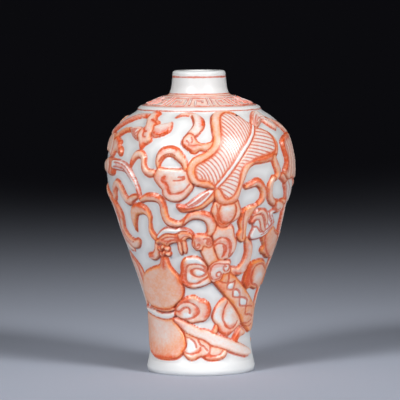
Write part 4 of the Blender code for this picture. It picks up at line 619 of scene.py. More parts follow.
strokes("bow_loop",
    (-0.8, 0.9, (-9, 31.4), (-4, 31.4), (0, 30.8)),
    (1, 0.9, (-14.2, 30.4), (-14.8, 29), (-14.6, 27.6), (-15.6, 26.2), (-13.4, 24.8), (-10, 24.4)),
    (0.9, 0.6, (-7.6, 28.4), (-5.6, 27.8)),
    (-0.6, 0.8, (-3, 28), (1, 28)),
    (-0.5, 0.8, (-9.6, 27.6), (-9, 26.2), (-5, 25.8)),
    (-0.4, 0.6, (-8, 24.3), (0, 24.5), (6, 25.2)))

# Bow and tail at the gourd's waist.
patch("waist_bow", 2, PALE, (-27.5, 17.2), (-26, 18.6), (-23, 19.6), (-19, 20.4), (-15, 21), (-10, 21.5),
    (-6, 21.6), (-3, 21.1), (0, 20.6), (3, 20.5), (6, 20.1), (9, 19.3), (10.6, 18), (10.4, 16.7),
    (8.6, 15.6), (5, 14.7), (0, 14.4), (-5, 14.2), (-10, 14), (-14, 14.4), (-20, 15), (-26, 15.7))
lines("waist_bow", 0.19,
    [(-26, 18.3), (-22, 19.2), (-18, 19.8), (-13, 20), (-9, 19.7), (-5, 19), (-2.6, 18.2), (-1.6, 17.5),
     (-3, 16.7), (-6, 16), (-10, 15.5), (-15, 15.2), (-20, 15.2), (-25, 15.7)])
lines("waist_bow", 0.21,
    [(-26, 17.6), (-23, 17.3), (-20, 17.7), (-17, 18.3), (-14, 18.5), (-11.6, 18.2), (-10.6, 17.5),
     (-11.2, 17)])
strokes("waist_bow",
    (0.9, 0.8, (-18, 20.4), (-13, 20.6)),
    (0.9, 0.9, (8.6, 18.4), (8.8, 17.2), (6, 16.2)),
    (0.7, 0.6, (0, 20.2), (4, 20), (7, 19.4)),
    (0.8, 0.6, (-4, 18.2), (-3.4, 17.2), (-7, 16.2)),
    (0.7, 0.6, (-26, 17.6), (-22, 17)),
    (-0.5, 0.7, (-16, 16.4), (-10, 16.4)))
patch("lower_scroll", 1, PALE, (-20, 6.2), (-17, 5), (-12, 4.2), (-7, 4.2), (-3, 4.8), (0, 5.1), (3, 4.8),
    (6, 4.3), (12, 4), (20, 4.1), (25, 4.5), (28.4, 5.1), (30.4, 6.4), (24, 7.6), (14, 8.6), (7, 9.8),
    (-3, 10.8), (-12, 11.6), (-19, 11.8), (-17.6, 10), (-16.2, 8.3), (-17.3, 7.2))
lines("lower_scroll", 0.15, [(-17, 10.4), (-12, 10), (-9, 9.5), (-6.6, 8.9), (-5.2, 8.1), (-4.9, 7.5)])
lines("lower_scroll", 0.22,
    [(-18, 6.4), (-15, 5.9), (-10, 5.7), (-6, 6), (-3, 6.2), (-1, 6.6), (-0.6, 7.3)])
lines("lower_scroll", 0.15,
    [(-3.4, 9.9), (-1.6, 8.8), (0, 8.2), (3, 7.9), (5, 7.3), (7, 6.7)],
    [(10.6, 8), (10, 6.9), (9, 6), (6, 5.4), (3, 5.1), (2.8, 4.8)])
lines("lower_scroll", 0.22, [(3, 5.1), (8, 5.4), (13, 5.2), (18, 5.3), (22, 5.7), (24.6, 6.5)])
strokes("lower_scroll",
    (-0.9, 1.2, (-12, 8.2), (-10, 7)),
    (0.8, 0.6, (-9, 6), (-4, 6.4), (-1.4, 6.8)),
    (0.9, 0.5, (3.4, 5), (7, 5.2), (11, 5)),
    (0.5, 0.6, (14, 4.7), (22, 5)))
patch("scroll_foot", 1, ROSE, (12.4, 11.6), (14.8, 12.6), (16.2, 13.6), (18.6, 13.8), (20, 12.6),
    (19, 11.4), (15, 10.8))
patch("tail_tube", 3, THIN, (-29.4, 15.6), (-20, 14.8), (-12, 14), (-6, 13.2), (0, 12.5), (5, 12.4),
    (9.5, 12.1), (14, 11.4), (20, 10.9), (28, 10.1), (36, 9.4), (44, 8.6), (52, 7.9), (60, 7.1), (66, 6.4),
    (68.5, 5.5), (66, 4.5), (58, 4.3), (50, 4.7), (42, 5.2), (35, 5.8), (31, 6.3), (26, 6.8), (18, 7.5),
    (11, 8), (7, 8.8), (2, 9.6), (-3, 10), (-10, 10.7), (-16, 11.4), (-21, 12.3), (-26, 13.6), (-30, 14.7))
strokes("tail_tube", (0.6, 0.8, (-29, 15), (-25, 14.2), (-20, 13)))

# Cloth between bow and sword.
patch("cloth_loop", 1, PALE, (27, 20.6), (24.4, 20.9), (21, 20.3), (18, 19.4), (15.6, 18.5), (14, 17.4),
    (12.7, 16.5), (12.3, 15.5), (13.5, 14.7), (15.5, 14), (18, 13.6), (19.5, 12.9), (19.6, 12.1),
    (22, 11.4), (26, 10.7), (30, 10.3), (34, 10.6), (38, 11.2), (42, 11.9), (47, 12.7), (50, 13.6),
    (46, 15.4), (40, 17.2), (34, 18.8))
lines("cloth_loop", 0.18,
    [(27.5, 19.9), (26.8, 19), (25, 18.2), (24.3, 17), (23.9, 15.8), (24.6, 14.8), (26.6, 14), (28.6, 13.1),
     (31.4, 12.5), (35, 12.3), (39, 12.7), (42, 13.5), (43.4, 14.3)])
strokes("cloth_loop",
    (-0.4, 1.1, (18, 18.2), (16.5, 16.6), (17.5, 15.4), (20, 15)),
    (-0.3, 1.2, (31, 17), (30, 15.4), (34, 14)),
    (0.9, 0.7, (20.6, 12.4), (24, 11.4), (29, 10.9), (34, 11.2)),
    (0.8, 0.6, (28.6, 13.3), (33, 12.8), (39, 13.1)),
    (0.5, 0.6, (26, 19), (24.6, 17.4), (24.4, 15.8)))
patch("tip_cloth", 1, ROSE, (38.5, 9.2), (40.6, 10.4), (44, 11.5), (48, 12.3), (50.5, 12.6), (53, 12.2),
    (58, 11.4), (62, 10.6), (58, 10.2), (53, 10), (49.5, 9.5), (47, 9), (45.4, 8.4))
strokes("tip_cloth", (1, 0.8, (41.5, 9.8), (43.4, 9.2), (45.6, 10.8)))

# Right lower side, and the bands that go on round it.
ribbon("strap_low", 1, PALE, (0.5, 1.1, 1.25, 1.3, 1.45, 1.5, 1.2, 0.9), (34.8, 36.6), (38.2, 35),
    (40.3, 33.2), (40.4, 31.3), (39.4, 29.6), (36.2, 28.2), (32, 27.9), (28, 28.4))
strokes("strap_low",
    (0.9, 0.6, (30, 27.8), (32.5, 27.4), (35.4, 27.5)),
    (0.5, 0.6, (36.6, 35.2), (37.8, 33.4), (38.2, 31.6)),
    (0.9, 0.6, (42, 29.3), (44, 29.6)))
patch("low_leaf", 1, DEEP, (43.2, 29.6), (46, 30), (50, 30.4), (55, 30.6), (60, 30.5), (65, 30.1),
    (69, 29.6), (74, 28.6), (80, 27.6), (86, 26.8), (88, 24.6), (82, 23), (74, 22.6), (66, 22.3),
    (62, 22.5), (58, 22.8), (54, 23.1), (50.5, 22.6), (46, 23.5), (42.6, 24.5), (41.8, 25.6), (42.2, 27.4))
lines("low_leaf", 0.22,
    [(52.6, 29.2), (50.4, 27.8), (50.6, 26), (53, 24.5), (57, 24), (62, 23.6), (67, 22.9)],
    [(52.6, 29.2), (58, 29.5), (63, 29.3), (68, 28.5), (75, 27.4)])
strokes("low_leaf",
    (1.1, 1.1, (45, 29.2), (45.4, 27), (45.6, 25), (48.6, 24.2)),
    (0.9, 0.6, (50.4, 27.6), (50.8, 26), (53, 24.8)),
    (-0.6, 1.4, (60, 26.4), (65, 26.2)))
patch("panel", 1, TAN, (50.2, 36.9), (51.2, 35.8), (54.6, 34.6), (54.8, 34.1), (53.1, 33.7), (53.6, 32.8),
    (56.2, 32.1), (60, 31.8), (64, 31.1), (70, 30.6), (80, 30.4), (90, 30.8), (97, 32.4), (98, 35.2),
    (92, 37.2), (82, 37.6), (74, 37.6), (69, 38.2), (64, 39), (60.8, 39.8), (57, 38.5), (53, 37.4))
lines("panel", 0.22,
    [(53.4, 37.2), (54.4, 35.9), (56.4, 34.9), (58.6, 33.9), (61.4, 32.9), (66, 31.9), (72, 31.1)])
strokes("panel", (0.6, 0.8, (54, 36.6), (57, 34.6), (60, 33.2), (66, 31.8)))
lines("panel", 0.14, [(64, 38.2), (70, 37.2), (78, 36.7), (86, 36.6)])
ribbon("edge_band", 1.2, THIN, (0.5, 0.85, 0.95, 1, 1, 0.9, 0.6), (70.5, 46.2), (72.5, 43.2), (75.5, 39.6),
    (80, 36.4), (86, 32.4), (92, 28.6), (98, 25))
strokes("edge_band", (0.7, 0.4, (69, 45.4), (71, 42), (74.6, 38.6), (79, 35.4)))
ribbon("edge_cord", 0, THIN, (0.3, 0.5, 0.55, 0.5, 0.3), (81, 27.4), (77.4, 24), (76.6, 21), (78.6, 18.6),
    (83, 16.4))

# Round the back: lotus with its leaf.
ribbon("lotus_stem", 1, ROSE, (0.8, 0.9, 0.8, 0.8), (118, 49), (123, 53), (124, 57), (126, 60))
patch("lotus_leaf", 1, PALE, (104, 46), (108, 43.5), (114, 42.5), (121, 43), (126, 45.5), (128, 48),
    (123, 50), (115, 50.5), (108, 49.5))
veins("lotus_leaf", [(117, 46.8)] * 2,
    [(107, 48.6), (106.5, 45), (111, 43.6), (117, 43.3), (123, 45), (125.5, 48), (119, 49.8), (112, 49.6)],
    9, (0, 0.2), 0.1)
strokes("lotus_leaf", (0.8, 0.6, (106, 46), (111, 43.4), (120, 43.6), (126, 46.6)))
spray("lotus_outer", 2, PALE, (127, 59), 5, -100, 100, 6.4, 3.4)
spray("lotus_inner", 2, THIN, (127, 59), 3, -34, 34, 5.4, 3)
disc("lotus_heart", 3, TAN, 1.3, (127, 59.4))
strokes("lotus_outer", (1, 1.1, (122, 59), (127, 58), (132, 59)))
strokes("lotus_inner", (0.7, 0.8, (124.5, 60.5), (127, 61), (129.5, 60.5)))

# Flower basket with its handle.
ribbon("basket_handle", 1, ROSE, (0.7, 0.75, 0.8, 0.8, 0.8, 0.75, 0.7), (163, 36), (162, 42), (167, 47),
    (176, 49), (185, 47), (190, 42), (189, 36))
spray("basket_flower", 1, PALE, (169, 37), 5, -80, 60, 5.2, 2.8)
spray("basket_flower", 1, PALE, (183, 37), 5, -60, 80, 5.2, 2.8)
spray("basket_flower", 2, THIN, (176, 38), 5, -70, 70, 6, 3)
patch("basket", 2, TAN, (158, 37), (167, 36), (176, 35.6), (185, 36), (194, 37), (192, 32), (188, 27.5),
    (183, 25.6), (176, 25.2), (169, 25.6), (164, 27.5), (160, 32))
veins("basket", [(159, 34.6), (161.5, 30.6), (165.5, 27.2)], [(193, 34.6), (190.5, 30.6), (186.5, 27.2)], 5,
    (0, -1), 0.14)
veins("basket", [(165, 35.6), (176, 35), (187, 35.6)], [(169, 26.2), (176, 25.8), (183, 26.2)], 7, (0, 0),
    0.12)
ribbon("basket_rim", 3, WHITE, (0.8, 0.9, 0.9, 0.8), (158, 36.6), (168, 35.4), (184, 35.4), (194, 36.6))
disc("flower_heart", 3, TAN, 1.2, (169, 38.6), (183, 38.6), (176, 40.2))
strokes("basket_flower", (0.9, 1, (164, 38), (170, 39.5), (176, 40.5), (182, 39.5), (188, 38)))

# Fish drum and its rods.
bar("drum_rod", 1, PALE, 0.6, (226, 62), (236, 68))
bar("drum_rod", 1, PALE, 0.6, (232, 60), (243, 66))
bar("drum", 2, TAN, 2.6, (208, 48), (229, 61))
bar("drum_band", 3, WHITE, 0.5, (212, 54), (218, 50.5))
bar("drum_band", 3, WHITE, 0.5, (221, 59.5), (227, 55.5))
strokes("drum", (0.7, 0.7, (206, 49.5), (216, 57), (226, 62.5)))

# Flute with its cord.
ribbon("flute_cord", 1, ROSE, (0.5, 0.7, 0.7, 0.5, 0.5), (150, 14), (158, 18.5), (166, 16), (160, 11),
    (150, 14))
bar("flute", 2, PALE, 1.35, (116, 29), (186, 7.5))
veins("flute", [(123, 27.6), (179, 10.4)], [(121.4, 26.2), (177.4, 9)], 9, (0, 0), 0.16)
strokes("flute", (0.7, 0.5, (112, 29), (150, 17.6), (188, 6)))

# Ribbons and leaves between them.
for tone, half_widths, *points in (
    (PALE, (0.5, 0.9, 1, 1, 0.9, 0.5), (146, 66.5), (156, 67.5), (166, 64), (164, 59), (171, 56),
     (180, 58.5)),
    (ROSE, (0.5, 1, 1.1, 1, 0.9, 0.5), (142, 53.5), (150, 56.5), (156, 53), (152, 48), (146, 44),
     (150, 39.5)),
    (ROSE, (0.5, 0.9, 1, 1, 0.9, 0.5), (188, 66.5), (198, 68), (207, 65), (205, 60.5), (196, 58.5),
     (189, 61)),
    (PALE, (0.5, 1, 1.1, 1.1, 1, 0.6), (186, 54), (196, 55.5), (203, 52), (200, 46.5), (206, 42),
     (215, 43.5)),
    (PALE, (0.5, 0.9, 1.1, 1, 0.9, 0.6), (236, 57.5), (243, 60.5), (252, 59), (254, 54), (247, 51),
     (240, 48)),
    (ROSE, (0.5, 1, 1.1, 1, 1, 0.5), (222, 47.5), (232, 48), (238, 44), (234, 39), (226, 37), (219, 39.5)),
    (PALE, (0.6, 1.1, 1.2, 1.1, 0.9, 0.5), (252, 41.5), (246, 38), (240, 33.5), (245, 29), (253, 30),
     (258, 33)),
    (ROSE, (0.5, 1, 1.1, 1, 0.5), (108, 38.5), (116, 36), (124, 37.5), (132, 35), (140, 30)),
    (PALE, (0.5, 0.9, 1, 0.9, 0.5), (130, 40.5), (138, 42), (146, 34.5), (152, 31), (158, 24)),
    (ROSE, (0.5, 1, 1.1, 1, 0.9, 0.5), (96, 24.5), (103, 28), (110, 24), (106, 19.5), (98, 17), (104, 13)),
    (PALE, (0.6, 1.1, 1.2, 1, 0.5), (112, 16), (122, 19), (132, 14.5), (124, 10), (114, 11)),
    (ROSE, (0.5, 1, 1.1, 1, 0.5), (104, 8), (116, 5.6), (130, 7), (142, 9), (150, 6)),
    (PALE, (0.5, 1, 1.2, 1.1, 0.9, 0.5), (196, 29), (205, 33), (214, 30), (212, 25), (202, 22),
     (196, 18.5)),
    (ROSE, (0.6, 1.1, 1.2, 1, 0.5), (220, 32), (228, 28), (226, 23), (218, 20), (212, 15.5)),
    (PALE, (0.6, 1.1, 1.2, 1.1, 0.5), (178, 20.5), (186, 17), (196, 13), (206, 11.5), (214, 8)),
    (ROSE, (0.5, 1, 1.2, 1, 0.5), (236, 24.5), (246, 24), (252, 20), (244, 16), (232, 17)),
    (PALE, (0.6, 1, 1.1, 1, 0.6), (196, 6), (210, 4.9), (224, 6.5), (238, 9.5), (250, 8)),
):
    ribbon("back_curl", 1, tone, half_widths, *points)
for tone, *points in (
    (ROSE, (232, 12.5), (237, 14.5), (243, 13.5), (249, 14.5), (252, 12), (248, 10.2), (240, 9.6),
     (234, 10.4)),
    (ROSE, (135, 24), (140, 27), (147, 27.5), (151, 24.5), (147, 21.5), (139, 21.4)),
    (PALE, (240, 64.5), (246, 67), (254, 67.5), (257, 65), (251, 63), (244, 62.6)),
    (ROSE, (107, 57), (111, 60.5), (116, 58), (115, 54.5), (109, 53.6)),
    (PALE, (215, 36.5), (219, 35), (217, 33.6), (211, 34.2), (209, 36)),
):
    patch("back_leaf", 2, tone, *points)
lines("back_leaf", 0.14,
    [(233, 11.6), (240, 12.2), (250, 12.2)],
    [(136, 23.6), (142, 24.6), (149, 24.6)],
    [(241, 64), (248, 65.2), (255, 65.4)],
    [(108, 55), (111, 57), (114, 56.6)])
for half, *places in (
    (4, (150, 66.2), (198, 67), (150, 55), (196, 54.6), (244, 59.6), (232, 47), (246, 38), (116, 37)),
    (5, (140, 41), (104, 27), (122, 18), (118, 6), (206, 32), (226, 28), (190, 15), (246, 23)),
):
    strokes("back_curl", *((0.8, 0.7, (turn - half, up), (turn + half, up + 0.4)) for turn, up in places))


def smooth_path(points, closed, steps):
    """A Catmull-Rom curve through the points, with this many samples in each stretch."""
    points = np.asarray(points, float)
    if closed:
        around = [np.roll(points, shift, axis=0) for shift in (1, 0, -1, -2)]
    else:
        ends = np.vstack([2 * points[0] - points[1], points, 2 * points[-1] - points[-2]])
        around = [ends[:-3], ends[1:-2], ends[2:-1], ends[3:]]
    a, b, c, d = (part[:, None, :] for part in around)
    t = np.arange(steps)[None, :, None] / steps
    curve = 0.5 * (2 * b + (c - a) * t + (2 * a - 5 * b + 4 * c - d) * t**2 + (3 * b - a - 3 * c + d) * t**3)
    curve = curve.reshape(-1, points.shape[1])
    return curve if closed else np.vstack([curve, points[-1]])


class TurnedSurface:
    """The turned body, charted so that shapes keep their angles: rise grows by path length over radius."""

    def __init__(self, profile):
        profile = np.asarray(profile)
        self.height, self.radius = profile[:, 0], profile[:, 1]
        steps = np.hypot(np.diff(self.height), np.diff(self.radius))
        mean = (self.radius[1:] + self.radius[:-1]) / 2
        self.rise = np.concatenate([[0], np.cumsum(steps / mean)])
        self.path = np.concatenate([[0], np.cumsum(steps)])
        slope_z, slope_r = np.gradient(self.height), np.gradient(self.radius)
        size = np.hypot(slope_z, slope_r)
        self.out_r, self.out_z = slope_z / size, -slope_r / size

    def at_height(self, height):
        return np.interp(height, self.height, self.rise)

    def radius_at(self, rise):
        return np.interp(rise, self.rise, self.radius)

    def chart(self, points):
        """Chart points of (degrees, height on the chart's scale) points."""
        points = np.asarray(points, float)
        rise = self.at_height(points[..., 1] / CHART_SHOULDER * SHOULDER_HEIGHT)
        return np.stack([np.radians(points[..., 0]), rise], axis=-1)


def station_curve(start, end, shares):
    """(height, radius) stations between two named places of the body."""
    return [tuple(a + (b - a) * share for a, b, share in zip(start, end, pair)) for pair in shares]


def body_surface():
    """The body from its foot's band to the shoulder, without the relief."""
    foot = (FOOT_BAND / 3, FOOT_RADIUS)
    waist, belly = (WAIST_HEIGHT, WAIST_RADIUS), (BELLY_HEIGHT, BELLY_RADIUS)
    shoulder = (SHOULDER_HEIGHT, SHOULDER_RADIUS)
    stations = [foot, *station_curve(foot, waist, FOOT_TO_WAIST), waist]
    stations += [*station_curve(waist, belly, WAIST_TO_BELLY), belly]
    stations += [*station_curve(belly, shoulder, BELLY_TO_SHOULDER), shoulder]
    return TurnedSurface(smooth_path(stations, closed=False, steps=64))


def outline_of(motif, surface):
    """The motif's closed outline on the chart."""
    places = surface.chart(motif["points"])
    if "half_widths" in motif:
        sizes = np.array(motif["half_widths"]) * MM * SCALE / surface.radius_at(places[:, 1])
        path = smooth_path(np.column_stack([places, sizes]), closed=False, steps=8)
        middle, half = path[:, :2], path[:, 2:]
        along = np.gradient(middle, axis=0)
        along /= np.linalg.norm(along, axis=1, keepdims=True)
        across = np.stack([-along[:, 1], along[:, 0]], axis=1)

        def cap(end, sign):
            angles = np.radians((45, 90, 135)) if sign > 0 else np.radians((-135, -90, -45))
            ways = [across[end] * np.cos(angle) + along[end] * np.sin(angle) for angle in angles]
            return [middle[end] + half[end] * way for way in ways]

        first = cap(0, -1)
        return np.vstack([middle + across * half, cap(-1, 1), (middle - across * half)[::-1], first])
    size = MM * SCALE / surface.radius_at(places[..., 1])
    if "radius" in motif:
        angles = np.linspace(0, 2 * math.pi, num=24, endpoint=False)
        return places + motif["radius"] * size * np.stack([np.cos(angles), np.sin(angles)], axis=1)
    if "shape" in motif:
        return smooth_path(places + np.array(motif["shape"]) * size, closed=True, steps=5)
    return smooth_path(places, closed=True, steps=7)


def near(points, path, surface, reach):
    """Indices and chart points, turned to the path's side, of those within reach (mm) of its box."""
    middle = (path[:, 0].min() + path[:, 0].max()) / 2
    turn = (points[:, 0] - middle + math.pi) % (2 * math.pi) - math.pi + middle
    here = np.stack([turn, points[:, 1]], axis=1)
    gap = reach * MM * SCALE / surface.radius.min()
    index = np.flatnonzero(((here > path.min(axis=0) - gap) & (here < path.max(axis=0) + gap)).all(axis=1))
    return index, here[index]


def measure(here, path, closed, surface):
    """Distance (mm), nearest chart point, and which side or whether inside, of each point."""
    start = path if closed else path[:-1]
    end = np.roll(path, -1, axis=0) if closed else path[1:]
    side = end - start
    length = (side**2).sum(axis=1) + TINY_SQUARE
    from_start = here[:, None, :] - start[None]
    share = np.clip((from_start * side).sum(axis=2) / length, 0, 1)
    gap = from_start - share[:, :, None] * side
    square = (gap**2).sum(axis=2)
    best = square.argmin(axis=1)
    rows = np.arange(len(here))
    distance = np.sqrt(square[rows, best]) * surface.radius_at(here[:, 1]) / (MM * SCALE)
    nearest = start[best] + share[rows, best][:, None] * side[best]
    if closed:
        crosses = (start[:, 1] > here[:, 1:]) != (end[:, 1] > here[:, 1:])
        rise = np.where(side[:, 1] == 0, 1, side[:, 1])
        left = here[:, :1] < start[:, 0] + (here[:, 1:] - start[:, 1]) / rise * side[:, 0]
        within = (crosses & left).sum(axis=1) % 2 == 1
    else:
        out = gap[rows, best]
        within = side[best, 0] * out[:, 1] - side[best, 1] * out[:, 0] > 0
    return distance, nearest, within


def rib_phase(here, family, surface):
    """How many of a family's lines lie before each point, their spacing (mm), and how far across it lies."""
    shares = np.linspace(-RIB_MARGIN, 1 + RIB_MARGIN, RIB_PLACES)
    ends = []
    for rail in family["rails"]:
        rail = surface.chart(rail)
        places = np.linspace(0, 1, len(rail))
        end = np.stack([np.interp(shares, places, rail[:, axis]) for axis in (0, 1)], axis=1)
        before = np.clip(shares, None, 0)[:, None] * (rail[1] - rail[0])
        past = np.clip(shares - 1, 0, None)[:, None] * (rail[-1] - rail[-2])
        ends.append(end + (before + past) * (len(rail) - 1))
    start, way = ends[0], ends[1] - ends[0]
    size = np.hypot(*way.T)
    radius = surface.radius_at(here[:, 1]) / (MM * SCALE)
    bend, across = np.zeros_like(here), np.zeros(len(here))
    for _ in range(RIB_ROUNDS):
        gap = (here - bend)[:, None, :] - start[None]
        side = (way[:, 0] * gap[:, :, 1] - way[:, 1] * gap[:, :, 0]) / size
        best = np.clip(np.abs(side).argmin(axis=1), 1, len(shares) - 2)
        rows = np.arange(len(here))
        slope = (side[rows, best + 1] - side[rows, best - 1]) / (shares[best + 1] - shares[best - 1])
        share = shares[best] - np.clip(side[rows, best] / slope, -RIB_NUDGE, RIB_NUDGE)
        across = (gap[rows, best] * way[best]).sum(axis=1) / size[best] ** 2
        bend = (4 * across * (1 - across) / radius)[:, None] * np.array(family["bow"])
    return share * family["count"], np.abs(slope) * radius / family["count"], across


class Drawing:
    """What the relief and its paint are at a set of chart points."""

    def __init__(self, surface):
        self.surface = surface
        self.outlines = [outline_of(motif, surface) for motif in MOTIFS]
        paths = [surface.chart(one["points"]) for one in LINES]
        self.lines = [smooth_path(path, closed=False, steps=6) for path in paths]
        paths = [surface.chart(one["points"]) for one in STROKES]
        self.strokes = [
            smooth_path(path, closed=False, steps=5) if len(path) > 1 else np.vstack([path, path])
            for path in paths
        ]

    def owned(self, index, owner, name):
        names = np.array([motif["name"] == name for motif in MOTIFS] + [False])
        return names[owner[index]]

    def touched(self, points, owner, name, path, reach):
        """Indices and chart points near a line or a stroke, of those on the motifs of its name."""
        index, here = near(points, path, self.surface, reach)
        mine = self.owned(index, owner, name)
        return index[mine], here[mine]

    def read(self, points):
        """The fields of the relief and its paint at the points, and where each kind of edge is nearest."""
        count = len(points)
        lift, tone, accent = np.zeros(count), np.zeros(count), np.zeros(count)
        rim, vein = np.full(count, FAR), np.full(count, FAR)
        owner = np.full(count, -1)
        pull = {kind: (points.copy(), np.zeros(count, bool)) for kind in ("rim", "vein")}

        def keep(kind, index, nearest, within):
            pull[kind][0][index] = nearest
            pull[kind][1][index] = within

        for number, (motif, outline) in enumerate(zip(MOTIFS, self.outlines)):
            index, here = near(points, outline, self.surface, RELIEF_REACH)
            if not len(index):
                continue
            distance, nearest, within = measure(here, outline, True, self.surface)
            inner = index[within]
            share = 1 - (1 - np.clip(distance[within] / EDGE, 0, 1)) ** 2
            top = GROUND_LIFT + LEVEL_LIFT * motif["level"]
            lift[inner] += (top - lift[inner]) * share
            tone[inner], rim[inner], owner[inner] = motif["tone"], distance[within], number
            keep("rim", inner, nearest[within], True)
            outer = ~within & (distance < rim[index])
            rim[index[outer]] = distance[outer]
            keep("rim", index[outer], nearest[outer], False)
        for one, path in zip(LINES, self.lines):
            index, here = self.touched(points, owner, one["name"], path, LINE_REACH)
            if not len(index):
                continue
            distance, nearest, within = measure(here, path, False, self.surface)
            gap = distance - one["half_width"]
            closer = gap < vein[index]
            vein[index[closer]] = gap[closer]
            keep("vein", index[closer], nearest[closer], within[closer])
        for one, path in zip(STROKES, self.strokes):
            index, here = self.touched(points, owner, one["name"], path, STROKE_REACH * one["radius"])
            if not len(index):
                continue
            distance, _, _ = measure(here, path, False, self.surface)
            accent[index] += one["strength"] * np.exp(-((distance / one["radius"]) ** 2))
        phase, pitch, middle = np.zeros(count), np.zeros(count), np.full(count, FAR)
        for family in RIBS:
            index = np.flatnonzero(self.owned(np.arange(count), owner, family["name"]))
            here = points[index]
            passed, spacing, across = rib_phase(here, family, self.surface)
            off = np.abs(across - 0.5)
            better = off < middle[index]
            index = index[better]
            phase[index], pitch[index], middle[index] = passed[better], spacing[better], off[better]
        on = owner >= 0
        lift -= np.where(on, RIM_GROOVE * np.exp(-((rim / RIM_GROOVE_WIDTH) ** 2)), 0)
        lift -= LINE_GROOVE * np.exp(-((np.maximum(vein, 0) / LINE_GROOVE_WIDTH) ** 2))
        fields = {"lift": lift, "wash": tone, "accent": accent, "rim": rim, "vein": vein}
        return {**fields, "phase": phase, "pitch": pitch}, pull


def arc(centre_radius, centre_height, size_r, size_z, first, last, steps):
    """Profile points along an arc from one angle to another in degrees: outwards at 0, upwards at 90."""
    angles = np.radians(np.linspace(first, last, steps + 1))
    radius, height = centre_radius + size_r * np.cos(angles), centre_height + size_z * np.sin(angles)
    return np.stack([radius, height], axis=1)


def ringed(path, step, rings):
    """(radius, height, distance to the nearest painted ring) rows along a profile path, in millimetres.

    A ring is (radius or height where it lies, half width). Rows stand on its middle and at its edges.
    """
    path = np.asarray(path, float)
    size = MM * SCALE
    along = np.concatenate([[0], np.cumsum(np.hypot(*np.diff(path, axis=0).T))]) / size
    middles = [along[np.abs(path - place * size).min(axis=1).argmin()] for place, _ in rings]
    places = set(np.linspace(0, along[-1], max(2, round(along[-1] / step) + 1)))
    for middle, (_, half) in zip(middles, rings):
        places |= {middle, *(middle + side * (half + more) for side in (-1, 1) for more in (0, RING_FADE))}
    places = np.array(sorted(place for place in places if 0 <= place <= along[-1]))
    places = places[np.concatenate([[True], np.diff(places) > RING_GAP])]
    gaps = [np.abs(places - middle) - half for middle, (_, half) in zip(middles, rings)]
    gaps = np.min(gaps, axis=0) if gaps else np.full(len(places), FAR)
    return np.stack([*(np.interp(places, along, path[:, axis]) for axis in (0, 1)), gaps], axis=1)


def store(mesh, name, values, kind="FLOAT"):
    """A value or a vector for each vertex, as a mesh attribute."""
    attribute = mesh.attributes.new(name, kind, "POINT")
    field = "vector" if kind == "FLOAT_VECTOR" else "value"
    attribute.data.foreach_set(field, np.ravel(values).astype(np.float32))


class Skin:
    """Rings of vertices joined into one closed skin, with what the relief and the paint read at each."""

    USUAL = {"lift": 0.0, "wash": 0.0, "accent": 0.0, "rim": FAR, "vein": FAR, "phase": 0.0, "pitch": 0.0}

    def __init__(self):
        self.points, self.outs, self.faces, self.count = [], [], [], 0
        self.values = {name: [] for name in self.USUAL}
        self.last = None

    def add(self, points, outs=None, **values):
        count = len(points)
        ring = np.arange(self.count, self.count + count)
        self.count += count
        self.points.append(points)
        self.outs.append(np.zeros((count, 3)) if outs is None else outs)
        for name, usual in self.USUAL.items():
            self.values[name].append(np.broadcast_to(values.get(name, usual), count))
        if self.last is not None:
            self.bridge(self.last, ring)
        self.last = ring

    def bridge(self, low, high):
        """Faces between two rings. One may be a pole, or have a whole multiple of the other's vertices."""
        if len(low) == len(high):
            self.faces += np.stack([low, np.roll(low, -1), np.roll(high, -1), high], axis=1).tolist()
            return
        upwards = len(low) > len(high)
        many, few = (low, high) if upwards else (high, low)
        ratio = len(many) // len(few)
        for i, corner in enumerate(few):
            fan = [many[(i * ratio + k) % len(many)] for k in range(ratio + 1)]
            faces = [(a, b, corner) for a, b in zip(fan, fan[1:])]
            if len(few) > 1:
                faces.append((fan[-1], few[(i + 1) % len(few)], corner))
            self.faces += [[int(v) for v in (face if upwards else face[::-1])] for face in faces]

    def turned(self, rows, turns, wash=0.0):
        """Rings of one radius and height each, with a pole where the radius is nothing."""
        for radius, height, gap in rows:
            if radius < POLE_RADIUS:
                self.add(np.array([[0, 0, height]]))
                continue
            places = [radius * np.sin(turns), -radius * np.cos(turns), np.full(len(turns), height)]
            self.add(np.stack(places, axis=1), vein=gap, wash=wash)

    def mesh(self, name):
        mesh = bpy.data.meshes.new(name)
        mesh.from_pydata(np.vstack(self.points), [], self.faces)
        store(mesh, "out", np.vstack(self.outs), "FLOAT_VECTOR")
        for field, parts in self.values.items():
            store(mesh, field, np.concatenate(parts))
        return mesh


def columns():
    """Turning angles round the bottle, closer together in front."""
    edge = math.radians(FRONT_HALF)
    front = np.linspace(-edge, edge, FRONT_COLUMNS, endpoint=False)
    return np.concatenate([front, np.linspace(edge, 2 * math.pi - edge, BACK_COLUMNS, endpoint=False)])


